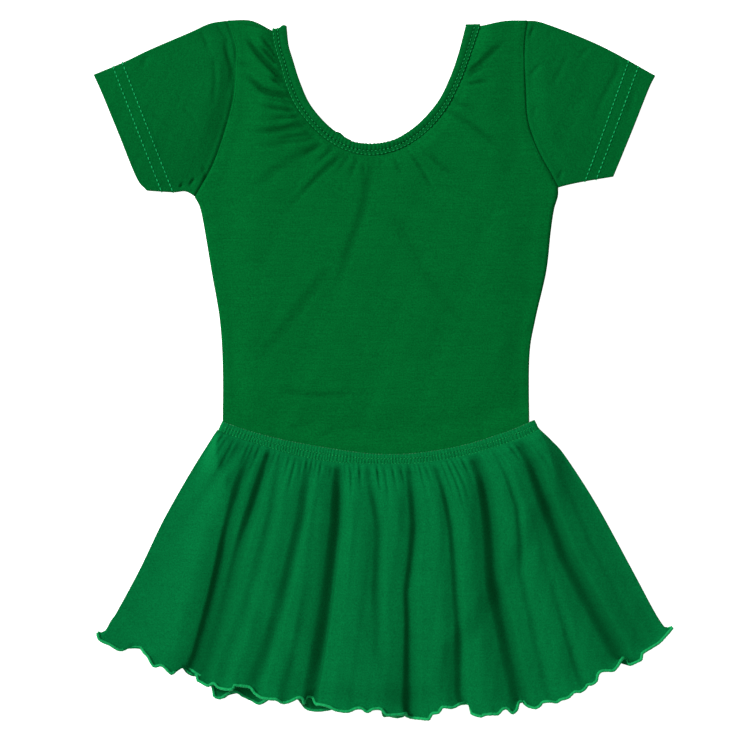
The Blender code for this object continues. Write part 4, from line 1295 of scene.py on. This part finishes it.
@dataclass
class Waistband:
    """The ruched elastic band, a low loop round the body."""

    wardrobe: Wardrobe
    stitches: StitchTree
    columns: int = 960
    rows: int = 16
    ribs: int = 104
    rib_height: float = 0.22
    crown: float = 0.45
    stitch_rows: tuple[float, float] = (0.47, 0.93)
    stitch_lift: float = 0.3
    edge_row: float = 0.25
    edge_lift: float = 0.02

    def height(self, x: Array, y: Array, shares: Array) -> Array:
        """Upper face: ribs across the band, deepest between the rows of stitches."""
        down = np.linspace(0, 1, self.rows + 1)[:, None]
        lean = 0.5 * np.sin(shares * 23)
        phase = 2 * math.pi * self.ribs * shares + 1.1 * np.sin(shares * 57) + 0.8 * np.sin(shares * 131)
        size = 0.7 + 0.3 * np.sin(shares * 83 + 1) * np.sin(shares * 211)
        deep = 0.65 + 0.35 * ease(0.25, 0.5, down)
        rib = self.rib_height * np.sin(phase[None, :] + lean[None, :] * 2 * down) * size[None, :] * deep
        crown = self.crown * np.sin(math.pi * down) - 0.28 * hump((down - self.stitch_rows[0]) / 0.10)
        ends = ease(0, 0.012, np.minimum(shares, 1 - shares))[None, :]
        return BAND_TOP - 0.3 + (rib + crown) * ends

    def build(self) -> None:
        """Makes the band, its edge thread and its stitches."""
        left, right = (smooth_curve([BAND_UPPER[k], BAND_LOWER[k]], self.rows + 1) for k in (0, -1))
        place = inset_patch(BAND_UPPER, BAND_LOWER, left, right)
        grid = flat_ring(place, self.columns, self.height, BAND_TOP / 2)
        material = self.wardrobe.get(self.wardrobe.elastic)
        piece = cloth("waist_elastic", grid, True, material, "waistband")
        rows = [lifted(grid, True, row * self.rows, self.stitch_lift) for row in self.stitch_rows]
        sewing = self.stitches.run(
            "waist_stitches", [levelled(row, 9) for row in rows],
            self.wardrobe.get(self.wardrobe.band_thread), 5,
            Pitch=0.0024, Stitch_Length=0.0016, Thickness=0.00105, Height=0.0008, Unevenness=0.4,
        )
        top_edge = lifted(grid, True, self.edge_row, self.edge_lift)[: self.columns]
        edging = self.stitches.run(
            "waist_edge_thread", [top_edge], self.wardrobe.get(self.wardrobe.tan_thread), 9,
            Pitch=0.0021, Stitch_Length=0.0019, Thickness=0.00045, Height=0.0004, Unevenness=0.6,
        )
        for extra in (sewing, edging):
            dress(extra)


@dataclass
class Skirt:
    """Front and back of the gathered skirt, with the rolled lettuce edge."""

    wardrobe: Wardrobe
    rolls: RollTree
    front_size: tuple[int, int] = (490, 98)
    back_size: tuple[int, int] = (300, 44)
    hem_reach: float = 15.0
    under_band: float = 0.6
    crowding: float = 0.09
    wide_share: float = 2.7
    gather_gain: float = 1.05
    tuck_height: float = 0.24
    at_band: float = 5.0
    left_flank: float = 62
    right_flank: float = 30
    flank_growth: float = 34
    front_curl: float = 2.0
    back_curl: float = 0.8
    roll_least: float = 1.25

    def drops(self, rows: int) -> Array:
        """Shares of the drop, closer together at the waist and at the hem."""
        even = np.linspace(0, 1, rows + 1)
        return even - self.crowding * np.sin(2 * math.pi * even) / math.pi

    def flat(self, hem: Points, across: Array, drops: Array) -> Grid:
        """Flat places of a skirt panel before its edge is waved."""
        sides = SKIRT_SIDE[Side.LEFT], SKIRT_SIDE[Side.RIGHT]
        top = np.array(BAND_LOWER) + (0, self.under_band)
        top[0], top[-1] = sides[0][0], sides[1][0]
        left, right = (at_shares(side, drops) for side in sides)
        return stretched(at_shares(top, across), at_shares(hem, across), left, right, across, drops)

    def grooves(self, across: Array, drop: float) -> tuple[Array, Array]:
        """Depth of the grooves and the sideways lean at one share of the drop.

        Args:
            across: Share of each column.
            drop: Share of the drop.

        Returns:
            Depth as a share of the fold height, and lean in millimetres.
        """
        percent = 100 * across
        depth, lean = np.zeros_like(percent), np.zeros_like(percent)
        for fold in FRONT_FOLDS:
            off = percent - fold.at(drop)
            width = np.where(off < 0, fold.left_width, fold.right_width)
            groove = fold.depth(drop) * 0.5 * (hump(off / width) + hump(off / (self.wide_share * width)))
            depth = depth + groove - depth * groove
            centre = -0.75 * fold.left_width if fold.lap > 0 else 0.75 * fold.right_width
            lap_width = 0.9 * (fold.left_width + fold.right_width) / 2
            lean += fold.lap * float(ease(0.1, 0.7, drop)) * hump((off - centre) / lap_width)
        for gather in FRONT_GATHERS:
            fade = 1 - ease(0.02, gather.ends_at, drop)
            groove = self.gather_gain * gather.depth * fade * hump((percent - gather.at) / gather.width)
            depth = depth + groove - depth * groove
        return depth, lean

    def brief_cover(self, x: Array, y: Array) -> Array:
        """1 over the brief and 0 well outside it."""
        left, right = np.array(LEG[Side.LEFT]), np.array(LEG[Side.RIGHT])
        to_left = np.interp(-y, -left[:, 1], left[:, 0]) - x
        to_right = x - np.interp(-y, -right[:, 1], right[:, 0])
        return 1 - ease(5, 26, np.maximum(np.maximum(to_left, to_right), left[-1, 1] - y))

    def waved(
        self, flat: Grid, across: Array, drops: Array, plain: Points, edge: Edge
    ) -> tuple[Grid, Array]:
        """Moves the lower rows so that the panel ends on its waved edge.

        Args:
            flat: Flat places that end on the plain hem.
            across: Share of each column.
            drops: Share of each row.
            plain: The plain hem, whose shares the columns follow.
            edge: X, Y and curl of the waved edge.

        Returns:
            The moved places, and the curl of each point.
        """
        line = smooth_curve(edge, 3000)
        share = np.linspace(0, 1, 1200)
        along = np.maximum.accumulate(np.interp(line[:, 0], at_shares(plain, share)[:, 0], share))
        along = along + np.linspace(0, 1e-6, len(along))
        along = (along - along[0]) / (along[-1] - along[0])
        wanted = np.column_stack([np.interp(across, along, column) for column in line.T])
        reach = ease(1 - self.hem_reach / DROP_LENGTH, 1.0, drops)[:, None]
        moved = flat + reach[..., None] * (wanted[:, :2] - flat[-1])[None]
        return moved, reach * wanted[:, 2][None, :]

    def front(self) -> tuple[Grid, Array]:
        """Points of the skirt's front, and the painted shade of each, darker the deeper it lies in a fold.
        """
        across, drops = np.linspace(0, 1, self.front_size[0] + 1), self.drops(self.front_size[1])
        flat = self.flat(HEM_FRONT, across, drops)
        moved, curl = self.waved(flat, across, drops, HEM_FRONT, HEM_FRONT_EDGE)
        x, y = flat[..., 0], flat[..., 1]
        over_brief = back_height(x, y) + LAYER + OVER_BRIEF
        near_waist = 1 - ease(0, 11, band_middle(x) - y)
        lifted_share = np.maximum(self.brief_cover(x, y), near_waist)
        base = OVER_BACK_SKIRT + (over_brief - OVER_BACK_SKIRT) * lifted_share
        depth, lean = (np.array(part) for part in zip(*(self.grooves(across, drop) for drop in drops)))
        drop = drops[:, None]
        rise = FOLD_HEIGHT * (0.5 * ease(0, 0.035, drop) + 0.5 * ease(0.01, 0.17, drop))
        soft = 0.35 * ripple(x, 0.35 * y, 31, 0.7) + 0.2 * ripple(x, 0.3 * y, 13, 3.0)
        beat = np.sin(across * 330 + 2.4 * np.sin(across * 61)) * (1 + 0.7 * np.sin(across * 43 + 1.3))
        tucks = self.tuck_height * beat[None, :] * hump((drop - 0.02) / 0.06)
        ridge = base + rise + soft * (1 - depth) * ease(0.03, 0.2, drop) + tucks
        ridge = ridge + (self.at_band - base) * (1 - ease(0, 0.03, drop))
        seam = SEAM_TOP + (BAND_TOP - SEAM_TOP) * (1 - ease(0, 0.12, drop))
        grown = self.grown(flat, across, drop)
        trough = rise * depth * np.clip(1.4 * grown, 0, 1)
        height = seam + soft_positive((ridge - seam) * grown - trough, 0.7) - 0.35 * (1 - grown)
        moved[..., 0] += lean * (1 - depth)
        # Painted shade: the colour is to be darker the deeper a point lies in a fold or gather.
        painted_fold_shade = depth**1.2 * ease(0.0, 0.04, drop)
        return with_height(moved, height + self.front_curl * np.maximum(curl, -0.3)), painted_fold_shade

    def grown(self, flat: Grid, across: Array, drop: Array) -> Array:
        """Share of its full height that the front has reached, from 0 at its side seams."""
        width = np.linalg.norm(flat[:, -1] - flat[:, 0], axis=1)[:, None]
        from_edge = np.minimum(across, 1 - across)[None, :] * width
        on_right = ease(0.4, 0.6, across)[None, :]
        flank = self.left_flank + (self.right_flank - self.left_flank) * on_right
        low_down = self.flank_growth * (1 - on_right) * ease(0.4, 0.9, drop)
        return ease(0, 1, from_edge / (3 + flank * ease(0, 0.45, drop) + low_down))

    def back(self) -> tuple[Grid, Array]:
        """Points of the skirt's back, and its painted shade, which is none."""
        across, drops = np.linspace(0, 1, self.back_size[0] + 1), self.drops(self.back_size[1])
        flat = self.flat(HEM_BACK, across, drops)
        moved, curl = self.waved(flat, across, drops, HEM_BACK, HEM_BACK_EDGE)
        drop = drops[:, None]
        height = np.full(flat.shape[:2], 1.0)
        for pleat in BACK_PLEATS:
            at = pleat.waist + (pleat.hem - pleat.waist) * drop
            lift = BACK_PLEAT_HEIGHT * pleat.height * ease(0.05, 0.25, drop)
            height = height + lift * hump((100 * across[None, :] - at) / pleat.width)
        return with_height(moved, height + self.back_curl * np.maximum(curl, 0)), np.zeros_like(height)

    def roll_path(self, grid: Grid, edge: Edge) -> Array:
        """Path of the rolled thread: on the hem, and tucked in where the edge curls under.

        Args:
            grid: The panel's points.
            edge: X, Y and curl of the waved edge.

        Returns:
            The path's points.
        """
        path, given = grid[-1].copy(), np.array(edge)
        inward = grid[-4, :, :2] - path[:, :2]
        inward = inward / np.linalg.norm(inward, axis=1)[:, None]
        away = np.hypot(path[:, None, 0] - given[None, :, 0], path[:, None, 1] - given[None, :, 1])
        curl = np.convolve(np.pad(given[away.argmin(axis=1), 2], 3, "edge"), np.ones(7) / 7, "valid")
        up, under = np.clip(curl, 0, 1), np.clip(-curl, 0, 1)
        path[:, :2] += inward * (0.85 + 1.1 * under)[:, None]
        path[:, 2] = np.maximum(path[:, 2] + 0.5 * up - 1.6 * under - 0.2, self.roll_least)
        return path

    def build(self) -> None:
        """Makes both panels and their rolled edges."""
        material = self.wardrobe.get(self.wardrobe.skirt)
        thread = self.wardrobe.get(self.wardrobe.edge_thread)
        for name, (grid, painted_fold_shade), edge, cut, area, under in (
            ("skirt_back", self.back(), HEM_BACK_EDGE, (0.50, 0.205), 0.067, []),
            ("skirt_front", self.front(), HEM_FRONT_EDGE, (0.56, 0.21), 0.085, ["skirt_back_cloth"]),
        ):
            piece = cloth(name + "_cloth", grid, False, material, name, painted_fold_shade)
            roll = self.rolls.run(
                name + "_rolled_edge", [self.roll_path(grid, edge)], thread, 11,
                Pitch=0.0005, Radius=0.00125, Wrap_Depth=0.14,
            )
            dress(roll)


@dataclass
class Studio:
    """A white surface, soft light and the camera straight above."""

    centre: tuple[float, float] = (-0.0007, -0.0052)
    distance: float = 1.849
    lens: float = 120.0
    table_reach: float = 3.0
    table_level: float = -0.0002
    world_light: float = 0.30

    def light(self, name: str, place: tuple[float, float, float], size: float, power: float) -> None:
        """A square soft light that faces the garment."""
        lamp = bpy.data.lights.new(name, "AREA")
        lamp.shape = "SQUARE"
        lamp.size = size
        lamp.energy = power
        light = placed(name, lamp)
        light.location = place
        light.rotation_mode = "QUATERNION"
        light.rotation_quaternion = (-Vector(place)).to_track_quat("-Z", "Y")

    def table(self) -> None:
        """The white surface, bright enough to be pure white in the picture."""
        mesh = bpy.data.meshes.new("white_table")
        spots = [(x * self.table_reach, y * self.table_reach, self.table_level)
                 for x, y in ((-1, -1), (1, -1), (1, 1), (-1, 1))]
        mesh.from_pydata(spots, [], [(0, 1, 2, 3)])
        paper, _, _ = shaded("white_paper", {
            "Base Color": (0.93, 0.93, 0.93, 1.0), "Roughness": 1.0, "Specular IOR Level": 0.0,
            "Emission Color": (1.0, 1.0, 1.0, 1.0), "Emission Strength": 0.8,
        })
        mesh.materials.append(paper)
        placed("white_table", mesh)

    def build(self) -> None:
        """Makes the surface, the lights, the world and the camera."""
        self.table()
        self.light("key_light", (-5.6, 3.0, 4.56), 2.74, 735.0)
        self.light("top_light", (0.15, 0.0, 2.25), 1.6, 10.5)
        scene = bpy.context.scene
        scene.world = bpy.data.worlds.new("studio")
        scene.world.use_nodes = True
        background = scene.world.node_tree.nodes["Background"]
        background.inputs["Color"].default_value = (1.0, 1.0, 1.0, 1.0)
        background.inputs["Strength"].default_value = self.world_light
        data = bpy.data.cameras.new("camera")
        data.lens = self.lens
        data.sensor_width = 36.0
        data.clip_start, data.clip_end = 0.01, 20.0
        scene.camera = placed("camera", data)
        scene.camera.location = (*self.centre, self.distance)
        scene.view_settings.view_transform = "Standard"
        scene.view_settings.look = "None"


def main() -> None:
    """Makes the garment and its studio."""
    logging.basicConfig(level=logging.INFO, format="%(name)s: %(message)s")
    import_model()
    Studio().build()
    wardrobe, stitches, rolls = Wardrobe(), StitchTree(), RollTree()
    Bodice(wardrobe).build()
    for side in Side:
        Sleeve(wardrobe, stitches, side).build()
    NeckBand(wardrobe, stitches).build()
    Waistband(wardrobe, stitches).build()
    Skirt(wardrobe, rolls).build()


if __name__ == "__main__":
    main()
